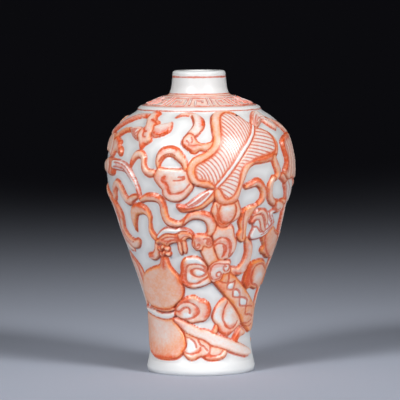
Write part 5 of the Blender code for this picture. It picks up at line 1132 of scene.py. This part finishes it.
def relief_grid(surface, turns):
    """Chart points and fields of the relief's rings, drawn onto the outlines and lines that they pass."""
    low = np.interp(FOOT_BAND, surface.height, surface.path)
    rows = np.linspace(low, surface.path[-1], round((surface.path[-1] - low) / (ROW_STEP * MM * SCALE)))
    rises = np.interp(rows, surface.path, surface.rise)
    points = np.stack(np.broadcast_arrays(turns[None, :], rises[:, None]), axis=-1).reshape(-1, 2)
    drawing = Drawing(surface)
    fields, pull = drawing.read(points)
    spacing = np.diff(turns, append=turns[0] + 2 * math.pi)
    width = np.tile(spacing, len(rises)) * surface.radius_at(points[:, 1]) / (MM * SCALE)
    cell = np.minimum(width, ROW_STEP)
    ends = np.zeros((len(rises), len(turns)), bool)
    ends[[0, -1]] = True
    free = ~ends.ravel()
    moved, tone = points.copy(), fields["wash"]
    on_rim = np.zeros(len(points), bool)
    for kind in ("rim", "vein"):
        nearest, within = pull[kind]
        gap = nearest - points
        gap[:, 0] = (gap[:, 0] + math.pi) % (2 * math.pi) - math.pi
        far = np.hypot(*gap.T) * surface.radius_at(points[:, 1]) / (MM * SCALE)
        close = free & (fields[kind] < FAR) & (far < cell * np.where(within, DRAWN_IN, DRAWN_OUT))
        moved[close] = points[close] + gap[close]
        free &= ~close
        if kind == "rim":
            on_rim = close
    fields, _ = drawing.read(moved)
    fields["rim"][on_rim] = 0
    fields["wash"][on_rim] = np.maximum(fields["wash"], tone)[on_rim]
    fields["lift"][ends.ravel()] = 0
    shape = (len(rises), len(turns))
    return moved.reshape(*shape, 2), {name: value.reshape(shape) for name, value in fields.items()}


def cone_path():
    """The two ends of the straight cone between the ledge and the neck."""
    low = (SHOULDER_RADIUS - LEDGE_WIDTH, SHOULDER_HEIGHT + LEDGE_RISE)
    return np.array([low, (CONE_TOP_RADIUS, low[1] + CONE_RISE)])


def neck_path():
    """The neck's outside, from the cone up to the lip's rounding."""
    radius, height = cone_path()[1]
    foot = height + 4 * NECK_FLARE
    stations = [(radius, height), ((radius + NECK_RADIUS) / 2, height + NECK_FLARE)]
    stations += [(NECK_RADIUS + NECK_SWELL, foot), (NECK_RADIUS, (foot + HEIGHT) / 2)]
    stations += [(LIP_RADIUS, HEIGHT - LIP_EDGE)]
    return smooth_path(stations, closed=False, steps=12)


def inside_path(surface):
    """The bore's end, then the wall's thickness in from the body, down to the middle of the floor."""
    heights = np.linspace(SHOULDER_HEIGHT, FLOOR + 2.5 * WALL, num=30)
    rows = (surface.radius, surface.out_r, surface.out_z)
    radii, out_r, out_z = (np.interp(heights, surface.height, row) for row in rows)
    wall = np.stack([radii - WALL * out_r, heights - WALL * out_z], axis=1)
    wall = wall[wall[:, 0] > MOUTH_RADIUS + WALL]
    corner = wall[-1, 1] - FLOOR
    bottom = arc(wall[-1, 0] - corner, FLOOR + corner, corner, corner, 0, -90, steps=6)[1:]
    bore_end = HEIGHT - NECK_WALL_DEPTH
    top = [(MOUTH_RADIUS, bore_end), (MOUTH_RADIUS + WALL / 2, bore_end - WALL / 2)]
    return np.vstack([top, wall, bottom, [(0, FLOOR)]])


def foot_path(surface):
    """From the middle of the underside out over the foot ring and up its band."""
    inner = FOOT_RADIUS - FOOT_RING_WIDTH
    under = [(0, FOOT_RECESS), (inner - FOOT_RECESS, FOOT_RECESS)]
    under += [(inner - FOOT_EDGE, FOOT_RECESS / 3), (inner, 0)]
    edge = arc(FOOT_RADIUS - FOOT_EDGE, FOOT_EDGE, FOOT_EDGE, FOOT_EDGE, -90, -20, steps=5)
    low = np.linspace(FOOT_BAND / 3, FOOT_BAND, num=5, endpoint=False)
    return np.vstack([under, edge, np.stack([np.interp(low, surface.height, surface.radius), low], axis=1)])


def lip_path():
    """Over the lip's rounding and into the mouth."""
    outer = arc(LIP_RADIUS - LIP_EDGE, HEIGHT - LIP_EDGE, LIP_EDGE, LIP_EDGE, 0, 90, steps=6)[1:]
    half = LIP_EDGE / 2
    return np.vstack([outer, arc(MOUTH_RADIUS + half, HEIGHT - half, half, half, 90, 180, steps=3)])


def bottle_mesh():
    """The whole bottle's skin, with its relief still flat and stored as a lift at each vertex."""
    surface, turns = body_surface(), columns()
    skin = Skin()
    skin.turned(ringed(foot_path(surface), FOOT_STEP, []), turns)
    chart, fields = relief_grid(surface, turns)
    profile = (surface.out_r, surface.out_z, surface.height)
    for row, points in enumerate(chart):
        turn, rise = points[:, 0], points[:, 1]
        sine, cosine, radius = np.sin(turn), -np.cos(turn), surface.radius_at(rise)
        out_r, out_z, height = (np.interp(rise, surface.rise, values) for values in profile)
        outs = np.stack([out_r * sine, out_r * cosine, out_z], axis=1)
        places = np.stack([radius * sine, radius * cosine, height], axis=1)
        skin.add(places, outs, **{name: value[row] for name, value in fields.items()})
    ledge = arc(SHOULDER_RADIUS - LEDGE_WIDTH, SHOULDER_HEIGHT, LEDGE_WIDTH, LEDGE_RISE, 0, 90, steps=24)
    skin.turned(ringed(ledge, LEDGE_STEP, LEDGE_RINGS)[1:], turns, LEDGE_WASH)
    cone = smooth_path(cone_path(), closed=False, steps=40)
    skin.turned(ringed(cone, CONE_STEP, CONE_RINGS)[1:], turns, CONE_WASH)
    neck = ringed(neck_path(), NECK_STEP, NECK_RINGS)[1:]
    skin.turned(neck[neck[:, 1] < NECK_WASH_TOP], turns, CONE_WASH)
    skin.turned(neck[neck[:, 1] >= NECK_WASH_TOP], turns)
    skin.turned(ringed(lip_path(), LIP_STEP, []), turns)
    skin.turned(ringed(inside_path(surface), INSIDE_STEP, []), turns[::INSIDE_EVERY])
    return skin.mesh("bottle skin")


def fret_mesh(units, margin):
    """One square spiral as a path lying on the cone, as vertices and edges."""
    low, high = cone_path()
    slant = math.dist(low, high)
    dense = [np.linspace(a, b, num=8, endpoint=False) for a, b in zip(FRET_TURNS, FRET_TURNS[1:])]
    across, up = np.vstack([*dense, FRET_TURNS[-1:]]).T
    way = (margin + up * (slant - 2 * margin)) / slant
    turn = (across - 0.5) * 2 * math.pi / units
    radius, height = (low[axis] + (high[axis] - low[axis]) * way for axis in (0, 1))
    mesh = bpy.data.meshes.new("fret path")
    points = np.stack([radius * np.sin(turn), -radius * np.cos(turn), height], axis=1)
    mesh.from_pydata(points, [(i, i + 1) for i in range(len(points) - 1)], [])
    return mesh


# The paint and the glaze.

ENAMEL = "iron-red enamel fired on glazed porcelain"


def linear(colour):
    """The linear colour of an sRGB hex value."""
    parts = [int(colour[i : i + 2], 16) / 255 for i in (0, 2, 4)]
    return (*(part / 12.92 if part <= 0.04045 else ((part + 0.055) / 1.055) ** 2.4 for part in parts), 1.0)


# The sockets of a Mix node for colours, by number because their names repeat. A Map Range node takes its
# value on 0, from the range 1 to 2 into the range 3 to 4.
FACTOR, A, B, RESULT = 0, 6, 7, 2


def add_node(tree, kind, inputs=(), out=0, **settings):
    """A node with its settings, and with values or sockets on its inputs. It gives one of its outputs."""
    node = tree.nodes.new(kind)
    for name, value in settings.items():
        setattr(node, name, value)
    for name, value in dict(inputs).items():
        if isinstance(value, bpy.types.NodeSocket):
            tree.links.new(value, node.inputs[name])
        else:
            node.inputs[name].default_value = value
    return node.outputs[out] if node.outputs else node


def blank_material(name):
    """A material without nodes, and the function that adds one to it."""
    material = bpy.data.materials.new(name)
    material.use_nodes = True
    material.node_tree.nodes.clear()
    return material, partial(add_node, material.node_tree)


def speck_place():
    """Where the firing speck sits on the fan's upper edge, in space."""
    surface, size = body_surface(), MM * SCALE
    (turn, rise), lift = surface.chart(SPECK), (GROUND_LIFT + SPECK_LEVEL * LEVEL_LIFT) * size
    rows = (surface.radius, surface.height, surface.out_r, surface.out_z)
    radius, height, out_r, out_z = (np.interp(rise, surface.rise, row) for row in rows)
    radius, height = radius + lift * out_r, height + lift * out_z
    return radius * math.sin(turn), -radius * math.cos(turn), height


def fired_enamel():
    """Porcelain under a clear feldspar glaze, with iron-red enamel brushed on and fired over it.

    The enamel is thin, so it pools along every moulded edge and leaves the tops pale: the eye sees soft
    salmon with darker red outlines, streaked by the brush, all under one wet shine.
    """
    paint = bpy.context.scene.snuff_bottle_paint
    material, add = blank_material(ENAMEL)
    smooth = {"interpolation_type": "SMOOTHSTEP"}
    size = MM * SCALE
    rim, vein, accent, wash, phase, pitch = (
        add("ShaderNodeAttribute", out="Fac", attribute_name=name)
        for name in ("rim", "vein", "accent", "wash", "phase", "pitch")
    )
    place = add("ShaderNodeTexCoord", out="Object")
    # The wash is uneven over about 3 mm, and streaked by brush hairs over about 0.7 mm.
    blotch = add("ShaderNodeTexNoise", {"Vector": place, "Scale": 1 / (3.2 * size), "Detail": 2.0})
    hair = {"Vector": place, "Scale": 1 / (0.7 * size), "Detail": 3.0, "Roughness": 0.6}
    brush = add("ShaderNodeTexNoise", hair)
    thinnest, thickest = 1 - paint.unevenness, 1 + paint.unevenness
    cloudy = add("ShaderNodeMapRange", {0: blotch, 1: 0.32, 2: 0.68, 3: thinnest, 4: thickest}, **smooth)
    streaky = add("ShaderNodeMapRange", {0: brush, 1: 0.3, 2: 0.7, 3: -0.1, 4: 0.1}, **smooth)
    thin = add("ShaderNodeMath", {0: wash, 1: cloudy}, operation="MULTIPLY")
    brushed = add("ShaderNodeMapRange", {0: wash, 1: 0.02, 2: 0.2})
    streaks = add("ShaderNodeMath", {0: streaky, 1: brushed}, operation="MULTIPLY")
    # Enamel gathers within about a millimetre of each moulded edge.
    pool = {0: rim, 1: 0.1, 2: paint.pool_width, 3: paint.pooling, 4: 0.0}
    edge_pool = add("ShaderNodeMapRange", pool, **smooth)
    pooled = add("ShaderNodeMath", {0: edge_pool, 1: brushed}, operation="MULTIPLY")
    bare = add("ShaderNodeMath", {0: accent, 1: 0.0}, operation="MINIMUM")
    coverage = add("ShaderNodeMath", {0: thin, 1: streaks}, operation="ADD")
    coverage = add("ShaderNodeMath", {0: coverage, 1: pooled}, operation="ADD")
    coverage = add("ShaderNodeMath", {0: coverage, 1: bare}, operation="ADD", use_clamp=True)
    mixed = {"out": RESULT, "data_type": "RGBA"}
    washed = add("ShaderNodeMix", {FACTOR: coverage, A: tuple(paint.glaze), B: tuple(paint.wash)}, **mixed)
    # The gaps of the relief are painted cooler and greyer: partly glaze pooled deep there, partly painted
    # shade, as falls into recesses beside each edge.
    gap_glaze_and_shade_span = {0: rim, 1: 0.2, 2: paint.gap_width, 3: paint.gap_glaze_and_shade, 4: 0.0}
    gap = add("ShaderNodeMapRange", gap_glaze_and_shade_span, **smooth)
    unbrushed = add("ShaderNodeMapRange", {0: wash, 1: 0.0, 2: 0.04, 3: 1.0, 4: 0.0})
    sunken_glaze_and_shade = add("ShaderNodeMath", {0: gap, 1: unbrushed}, operation="MULTIPLY")
    washed = add("ShaderNodeMix", {FACTOR: sunken_glaze_and_shade, A: washed, B: tuple(paint.gap)}, **mixed)
    full = add("ShaderNodeMapRange", {0: brush, 1: 0.3, 2: 0.65, 3: 0.7, 4: 1.1}, **smooth)
    loaded = add("ShaderNodeMath", {0: accent, 1: full}, operation="MULTIPLY", use_clamp=True)
    strong = add("ShaderNodeMix", {FACTOR: loaded, A: washed, B: tuple(paint.deep)}, **mixed)
    # Drawn lines swell and thin with the brush, by about a third of their width.
    swell = add("ShaderNodeMapRange", {0: blotch, 1: 0.35, 2: 0.65, 3: -0.05, 4: 0.06}, **smooth)
    rim_line = add("ShaderNodeMath", {0: rim, 1: swell}, operation="ADD")
    thread = {0: rim_line, 1: paint.line / 2, 2: paint.line * 2, 3: 1.0, 4: 0.0}
    outer = add("ShaderNodeMapRange", thread, **smooth)
    vein_line = add("ShaderNodeMath", {0: vein, 1: swell}, operation="ADD")
    inner = add("ShaderNodeMapRange", {0: vein_line, 1: 0.0, 2: paint.line, 3: 0.9, 4: 0.0}, **smooth)
    faintest, strongest = paint.line_strength - 0.25, paint.line_strength
    hairs = add("ShaderNodeMapRange", {0: brush, 1: 0.3, 2: 0.65, 3: faintest, 4: strongest}, **smooth)
    # The fan's ribs, from how many lie before each place and how far apart they are in millimetres.
    between_ribs = add("ShaderNodeMath", {0: phase, 1: 0.5}, operation="PINGPONG")
    off_rib = add("ShaderNodeMath", {0: between_ribs, 1: pitch}, operation="MULTIPLY")
    ridge = {0: off_rib, 1: paint.rib / 2, 2: paint.rib * 1.5, 3: 0.85, 4: 0.0}
    rib = add("ShaderNodeMapRange", ridge, **smooth)
    ribbed = add("ShaderNodeMapRange", {0: pitch, 1: 0.2, 2: 0.3})
    ribs_drawn = add("ShaderNodeMath", {0: rib, 1: ribbed}, operation="MULTIPLY")
    edges = add("ShaderNodeMath", {0: outer, 1: inner}, operation="MAXIMUM")
    edges = add("ShaderNodeMath", {0: edges, 1: ribs_drawn}, operation="MAXIMUM")
    drawn = add("ShaderNodeMath", {0: edges, 1: hairs}, operation="MULTIPLY")
    enamel = add("ShaderNodeMix", {FACTOR: drawn, A: strong, B: tuple(paint.outline)}, **mixed)
    # One black speck of iron, as firing leaves them.
    away = add("ShaderNodeVectorMath", {0: place, 1: speck_place()}, out="Value", operation="DISTANCE")
    near_to, far_from = SPECK_RADIUS * size, (SPECK_RADIUS + SPECK_EDGE) * size
    speck = add("ShaderNodeMapRange", {0: away, 1: near_to, 2: far_from, 3: 1.0, 4: 0.0})
    coat = add("ShaderNodeMix", {FACTOR: speck, A: enamel, B: tuple(paint.speck)}, **mixed)
    # The glaze's orange peel, about 1.6 mm across and under 0.01 mm deep.
    peel = add("ShaderNodeTexNoise", {"Vector": place, "Scale": 1 / (1.6 * size), "Detail": 1.0})
    bump = add("ShaderNodeBump", {"Height": peel, "Strength": 0.06, "Distance": 0.2 * size})
    gloss = add("ShaderNodeMapRange", {0: coverage, 1: 0.0, 2: 1.0, 3: 0.3, 4: 0.36})
    surface = {"Base Color": coat, "Roughness": gloss, "Normal": bump, "IOR": 1.5}
    surface |= {"Coat Weight": 0.13, "Coat Roughness": 0.18, "Coat IOR": 1.5}
    shader = add("ShaderNodeBsdfPrincipled", surface)
    add("ShaderNodeOutputMaterial", {"Surface": shader})
    return material


def matt_paper(colour):
    """Seamless studio paper, uncoated: an even pale floor with no shine of its own."""
    material, add = blank_material("uncoated studio paper")
    place = add("ShaderNodeTexCoord", out="Object")
    # Paper fibre is too fine to show, so it is drawn about 1.5 mm across.
    fibre = add("ShaderNodeTexNoise", {"Vector": place, "Scale": 1 / (1.5 * MM), "Detail": 2.0})
    darker = tuple(0.96 * part for part in colour[:3]) + (1.0,)
    tint = add("ShaderNodeMix", {FACTOR: fibre, A: tuple(colour), B: darker}, out=RESULT, data_type="RGBA")
    surface = {"Base Color": tint, "Roughness": 0.9, "Specular IOR Level": 0.2}
    shader = add("ShaderNodeBsdfPrincipled", surface)
    add("ShaderNodeOutputMaterial", {"Surface": shader})
    return material


# Geometry Nodes.


def open_tree(name, sockets):
    """A tree with (name, socket type, default) inputs, with its inputs' sockets and what adds a node."""
    tree = bpy.data.node_groups.new(name, "GeometryNodeTree")
    tree.interface.new_socket("Geometry", in_out="INPUT", socket_type="NodeSocketGeometry")
    for label, kind, value in sockets:
        tree.interface.new_socket(label, in_out="INPUT", socket_type=kind).default_value = value
    tree.interface.new_socket("Glaze", in_out="INPUT", socket_type="NodeSocketMaterial")
    tree.interface.new_socket("Geometry", in_out="OUTPUT", socket_type="NodeSocketGeometry")
    return tree, tree.nodes.new("NodeGroupInput").outputs, partial(add_node, tree)


def close_tree(add, geometry, glaze):
    """Ends a tree in real geometry, shaded smooth, with its material set."""
    real = add("GeometryNodeRealizeInstances", {"Geometry": geometry})
    even = add("GeometryNodeSetShadeSmooth", {"Geometry": real})
    painted = add("GeometryNodeSetMaterial", {"Geometry": even, "Material": glaze})
    add("NodeGroupOutput", {0: painted})


def press_tree():
    """Presses a skin out along its stored directions by its stored lifts."""
    tree, given, add = open_tree("Press relief", [("Relief height", "NodeSocketFloat", MM)])
    out = add("GeometryNodeInputNamedAttribute", {"Name": "out"}, data_type="FLOAT_VECTOR")
    lift = add("GeometryNodeInputNamedAttribute", {"Name": "lift"}, data_type="FLOAT")
    height = add("ShaderNodeMath", {0: lift, 1: given["Relief height"]}, operation="MULTIPLY")
    push = add("ShaderNodeVectorMath", {0: out, "Scale": height}, operation="SCALE")
    moved = add("GeometryNodeSetPosition", {"Geometry": given["Geometry"], "Offset": push})
    close_tree(add, moved, given["Glaze"])
    return tree


def fret_tree():
    """Turns one path into a raised line of round section, and repeats it about the bottle's axis."""
    sizes = [("Units", "NodeSocketInt", 1), ("Stroke", "NodeSocketFloat", MM)]
    tree, given, add = open_tree("Fret band", sizes)
    path = add("GeometryNodeMeshToCurve", {"Mesh": given["Geometry"]})
    half = add("ShaderNodeMath", {0: given["Stroke"], 1: 0.5}, operation="MULTIPLY")
    section = add("GeometryNodeCurvePrimitiveCircle", {"Resolution": 10, "Radius": half})
    ridge = add("GeometryNodeCurveToMesh", {"Curve": path, "Profile Curve": section, "Fill Caps": True})
    seats = add("GeometryNodeMeshLine", {"Count": given["Units"], "Offset": (0, 0, 0)})
    share = add("ShaderNodeMath", {0: 2 * math.pi, 1: given["Units"]}, operation="DIVIDE")
    index = add("GeometryNodeInputIndex")
    turn = add("ShaderNodeMath", {0: index, 1: share}, operation="MULTIPLY")
    about = add("ShaderNodeCombineXYZ", {"Z": turn})
    placed = add("GeometryNodeInstanceOnPoints", {"Points": seats, "Instance": ridge, "Rotation": about})
    close_tree(add, placed, given["Glaze"])
    return tree


def linked(name, data):
    """A new object in the scene."""
    made = bpy.data.objects.new(name, data)
    bpy.context.scene.collection.objects.link(made)
    return made


def grown(name, mesh, tree, values):
    """A piece whose mesh is what a Geometry Nodes tree makes of this one."""
    seed = linked(name + "_seed", mesh)
    modifier = seed.modifiers.new(tree.name, "NODES")
    modifier.node_group = tree
    for item in tree.interface.items_tree:
        if item.in_out == "INPUT" and item.name in values:
            modifier[item.identifier] = values[item.name]
    graph = bpy.context.evaluated_depsgraph_get()
    made = bpy.data.meshes.new_from_object(seed.evaluated_get(graph))
    bpy.data.objects.remove(seed)
    return linked(name, made)


def glaze_material():
    """The bottle's one finish, made when the first piece asks for it."""
    return bpy.data.materials.get(ENAMEL) or fired_enamel()


# What a user can change, and what makes each piece.


def colour_property(name, description, value):
    """A colour that a user can change, which starts from an sRGB hex value."""
    shown = {"name": name, "description": description}
    return FloatVectorProperty(**shown, subtype="COLOR", size=4, default=linear(value))


class SnuffBottleSizes(bpy.types.PropertyGroup):
    """The relief and the fret band"""

    relief: FloatProperty(
        name="Relief height",
        description="Height of a millimetre of the drawn relief",
        default=MM * SCALE,
        unit="LENGTH",
    )
    fret_units: IntProperty(
        name="Fret units", description="Square spirals round the shoulder", default=13, min=5, max=24
    )
    fret_stroke: FloatProperty(
        name="Fret stroke",
        description="Width of the fret's raised line",
        default=0.58 * MM * SCALE,
        unit="LENGTH",
    )
    fret_margin: FloatProperty(
        name="Fret margin",
        description="Plain border beside the fret",
        default=0.85 * MM * SCALE,
        unit="LENGTH",
    )


class SnuffBottlePaint(bpy.types.PropertyGroup):
    """The glaze and the enamel"""

    glaze: colour_property("Glaze", "Bare white glaze", "E6E7E6")
    # Painted shade: the grey in the relief's gaps stands partly for glaze pooled deep there and partly for
    # the shade that falls into them.
    gap: colour_property("Gap glaze and shade", "Glaze in the gaps of the relief", "D3D3D3")
    gap_glaze_and_shade: FloatProperty(
        name="Gap tint", description="How much it shows there", default=0.8, subtype="FACTOR"
    )
    gap_width: FloatProperty(
        name="Gap width", description="How far it shows from an edge, in millimetres", default=2.4
    )
    wash: colour_property("Wash", "Enamel brushed on thin", "F29452")
    deep: colour_property("Loaded brush", "Enamel from a full brush", "E2541A")
    outline: colour_property("Outline", "Enamel in the drawn lines", "D2501F")
    speck: colour_property("Speck", "Iron speck in the glaze", "2A2422")
    line: FloatProperty(
        name="Line width", description="Half width of a drawn outline, in millimetres", default=0.19
    )
    rib: FloatProperty(
        name="Rib width", description="Half width of the fan's ribs, in millimetres", default=0.19
    )
    line_strength: FloatProperty(
        name="Line strength", description="How dark lines are drawn", default=0.95, subtype="FACTOR"
    )
    pooling: FloatProperty(
        name="Pooling", description="Enamel gathered at edges", default=0.35, subtype="FACTOR"
    )
    pool_width: FloatProperty(
        name="Pool width", description="How far it gathers from an edge, in millimetres", default=1.1
    )
    unevenness: FloatProperty(
        name="Unevenness", description="How patchy the wash is", default=0.14, subtype="FACTOR"
    )


class SnuffBottleStage(bpy.types.PropertyGroup):
    """The floor and the camera"""

    floor: colour_property("Floor", "Studio paper", "AEB4C2")
    floor_side: FloatProperty(
        name="Floor side", description="Side of the paper", default=40.0, unit="LENGTH"
    )
    distance: FloatProperty(
        name="Distance", description="From the camera to its aim", default=0.853, unit="LENGTH"
    )
    aim: FloatProperty(
        name="Aim height", description="Height that the camera looks at", default=0.04545, unit="LENGTH"
    )
    aim_side: FloatProperty(
        name="Aim side", description="How far right the camera looks", default=0.00004, unit="LENGTH"
    )
    pitch: FloatProperty(
        name="Pitch",
        description="How far the camera looks down",
        default=math.radians(4.45),
        subtype="ANGLE",
    )
    roll: FloatProperty(
        name="Roll", description="Lean of the camera", default=math.radians(0.38), subtype="ANGLE"
    )
    lens: FloatProperty(
        name="Lens", description="Focal length in millimetres for a frame 36 mm wide", default=288.0
    )


class OBJECT_OT_snuff_bottle_body(bpy.types.Operator):
    """Makes the bottle itself, with its moulded relief"""

    bl_idname = "object.snuff_bottle_body"
    bl_label = "Bottle"

    def execute(self, context):
        sizes = context.scene.snuff_bottle_sizes
        values = {"Relief height": sizes.relief, "Glaze": glaze_material()}
        piece = grown("glazed_bottle", bottle_mesh(), press_tree(), values)
        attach(piece, "root")
        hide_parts("bottle")
        return {"FINISHED"}


class OBJECT_OT_snuff_bottle_fret(bpy.types.Operator):
    """Makes the raised fret band on the shoulder's cone"""

    bl_idname = "object.snuff_bottle_fret"
    bl_label = "Fret band"

    def execute(self, context):
        sizes = context.scene.snuff_bottle_sizes
        values = {"Units": sizes.fret_units, "Stroke": sizes.fret_stroke, "Glaze": glaze_material()}
        piece = grown("fret_band", fret_mesh(sizes.fret_units, sizes.fret_margin), fret_tree(), values)
        places = np.empty(len(piece.data.vertices) * 3, np.float32)
        piece.data.vertices.foreach_get("co", places)
        x, y, z = places.reshape(-1, 3).T
        low, high = cone_path()
        slope = (high - low) / math.dist(low, high)
        above = (z - low[1]) * -slope[0] + (np.hypot(x, y) - low[0]) * slope[1]
        count = len(above)
        fields = {**Skin.USUAL, "rim": above / (MM * SCALE), "wash": FRET_WASH}
        for name, value in fields.items():
            store(piece.data, name, np.broadcast_to(value, count))
        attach(piece, "root")
        return {"FINISHED"}


class OBJECT_OT_snuff_bottle_stage(bpy.types.Operator):
    """Makes the floor, the soft lights and the camera"""

    bl_idname = "object.snuff_bottle_stage"
    bl_label = "Stage"

    def execute(self, context):
        stage, scene = context.scene.snuff_bottle_stage, context.scene
        mesh = bpy.data.meshes.new("floor")
        half = stage.floor_side / 2
        corners = [(-half, -half, 0), (half, -half, 0), (half, half, 0), (-half, half, 0)]
        mesh.from_pydata(corners, [], [(0, 1, 2, 3)])
        mesh.materials.append(matt_paper(stage.floor))
        floor = linked("floor", mesh)
        for name, place, aim, sides, spread, watts, colour in LIGHTS:
            light = bpy.data.lights.new(name, "AREA")
            light.shape, light.size, light.size_y = "RECTANGLE", *sides
            light.energy, light.color, light.spread = watts, linear(colour)[:3], math.radians(spread)
            turn = (Vector(place) - Vector(aim)).to_track_quat("Z", "Y").to_matrix().to_4x4()
            linked(name, light).matrix_world = Matrix.Translation(place) @ turn
        world = bpy.data.worlds.new("dim studio")
        world.use_nodes = True
        world.node_tree.nodes["Background"].inputs["Color"].default_value = linear(WORLD_COLOUR)
        scene.world = world
        scene.view_settings.view_transform = "Standard"
        lens = bpy.data.cameras.new("camera")
        lens.lens, lens.sensor_width, lens.clip_end = stage.lens, FRAME_WIDTH, CLIP_END
        scene.camera = linked("camera", lens)
        away = stage.distance * Vector((0, -math.cos(stage.pitch), math.sin(stage.pitch)))
        tilt = Matrix.Rotation(math.pi / 2 - stage.pitch, 4, "X") @ Matrix.Rotation(-stage.roll, 4, "Z")
        aim = Vector((stage.aim_side, 0, stage.aim))
        scene.camera.matrix_world = Matrix.Translation(aim + away) @ tilt
        return {"FINISHED"}


class VIEW3D_PT_snuff_bottle(bpy.types.Panel):
    """Sizes, colours and the buttons that make each piece"""

    bl_label = "Snuff Bottle"
    bl_space_type = "VIEW_3D"
    bl_region_type = "UI"
    bl_category = "Snuff Bottle"

    def draw(self, context):
        for name in GROUPS:
            group, box = getattr(context.scene, name), self.layout.box()
            for field in group.__annotations__:
                box.prop(group, field)
        for operator in OPERATORS:
            self.layout.operator(operator.bl_idname)


GROUPS = {
    "snuff_bottle_sizes": SnuffBottleSizes,
    "snuff_bottle_paint": SnuffBottlePaint,
    "snuff_bottle_stage": SnuffBottleStage,
}
OPERATORS = (OBJECT_OT_snuff_bottle_body, OBJECT_OT_snuff_bottle_fret, OBJECT_OT_snuff_bottle_stage)


def register():
    for name, group in GROUPS.items():
        bpy.utils.register_class(group)
        setattr(bpy.types.Scene, name, PointerProperty(type=group))
    for one in (*OPERATORS, VIEW3D_PT_snuff_bottle):
        bpy.utils.register_class(one)


def unregister():
    for one in (VIEW3D_PT_snuff_bottle, *reversed(OPERATORS)):
        bpy.utils.unregister_class(one)
    for name, group in reversed(GROUPS.items()):
        delattr(bpy.types.Scene, name)
        bpy.utils.unregister_class(group)


def main():
    register()
    bpy.ops.object.snuff_bottle_body()
    bpy.ops.object.snuff_bottle_fret()
    bpy.ops.object.snuff_bottle_stage()


if __name__ == "__main__":
    main()
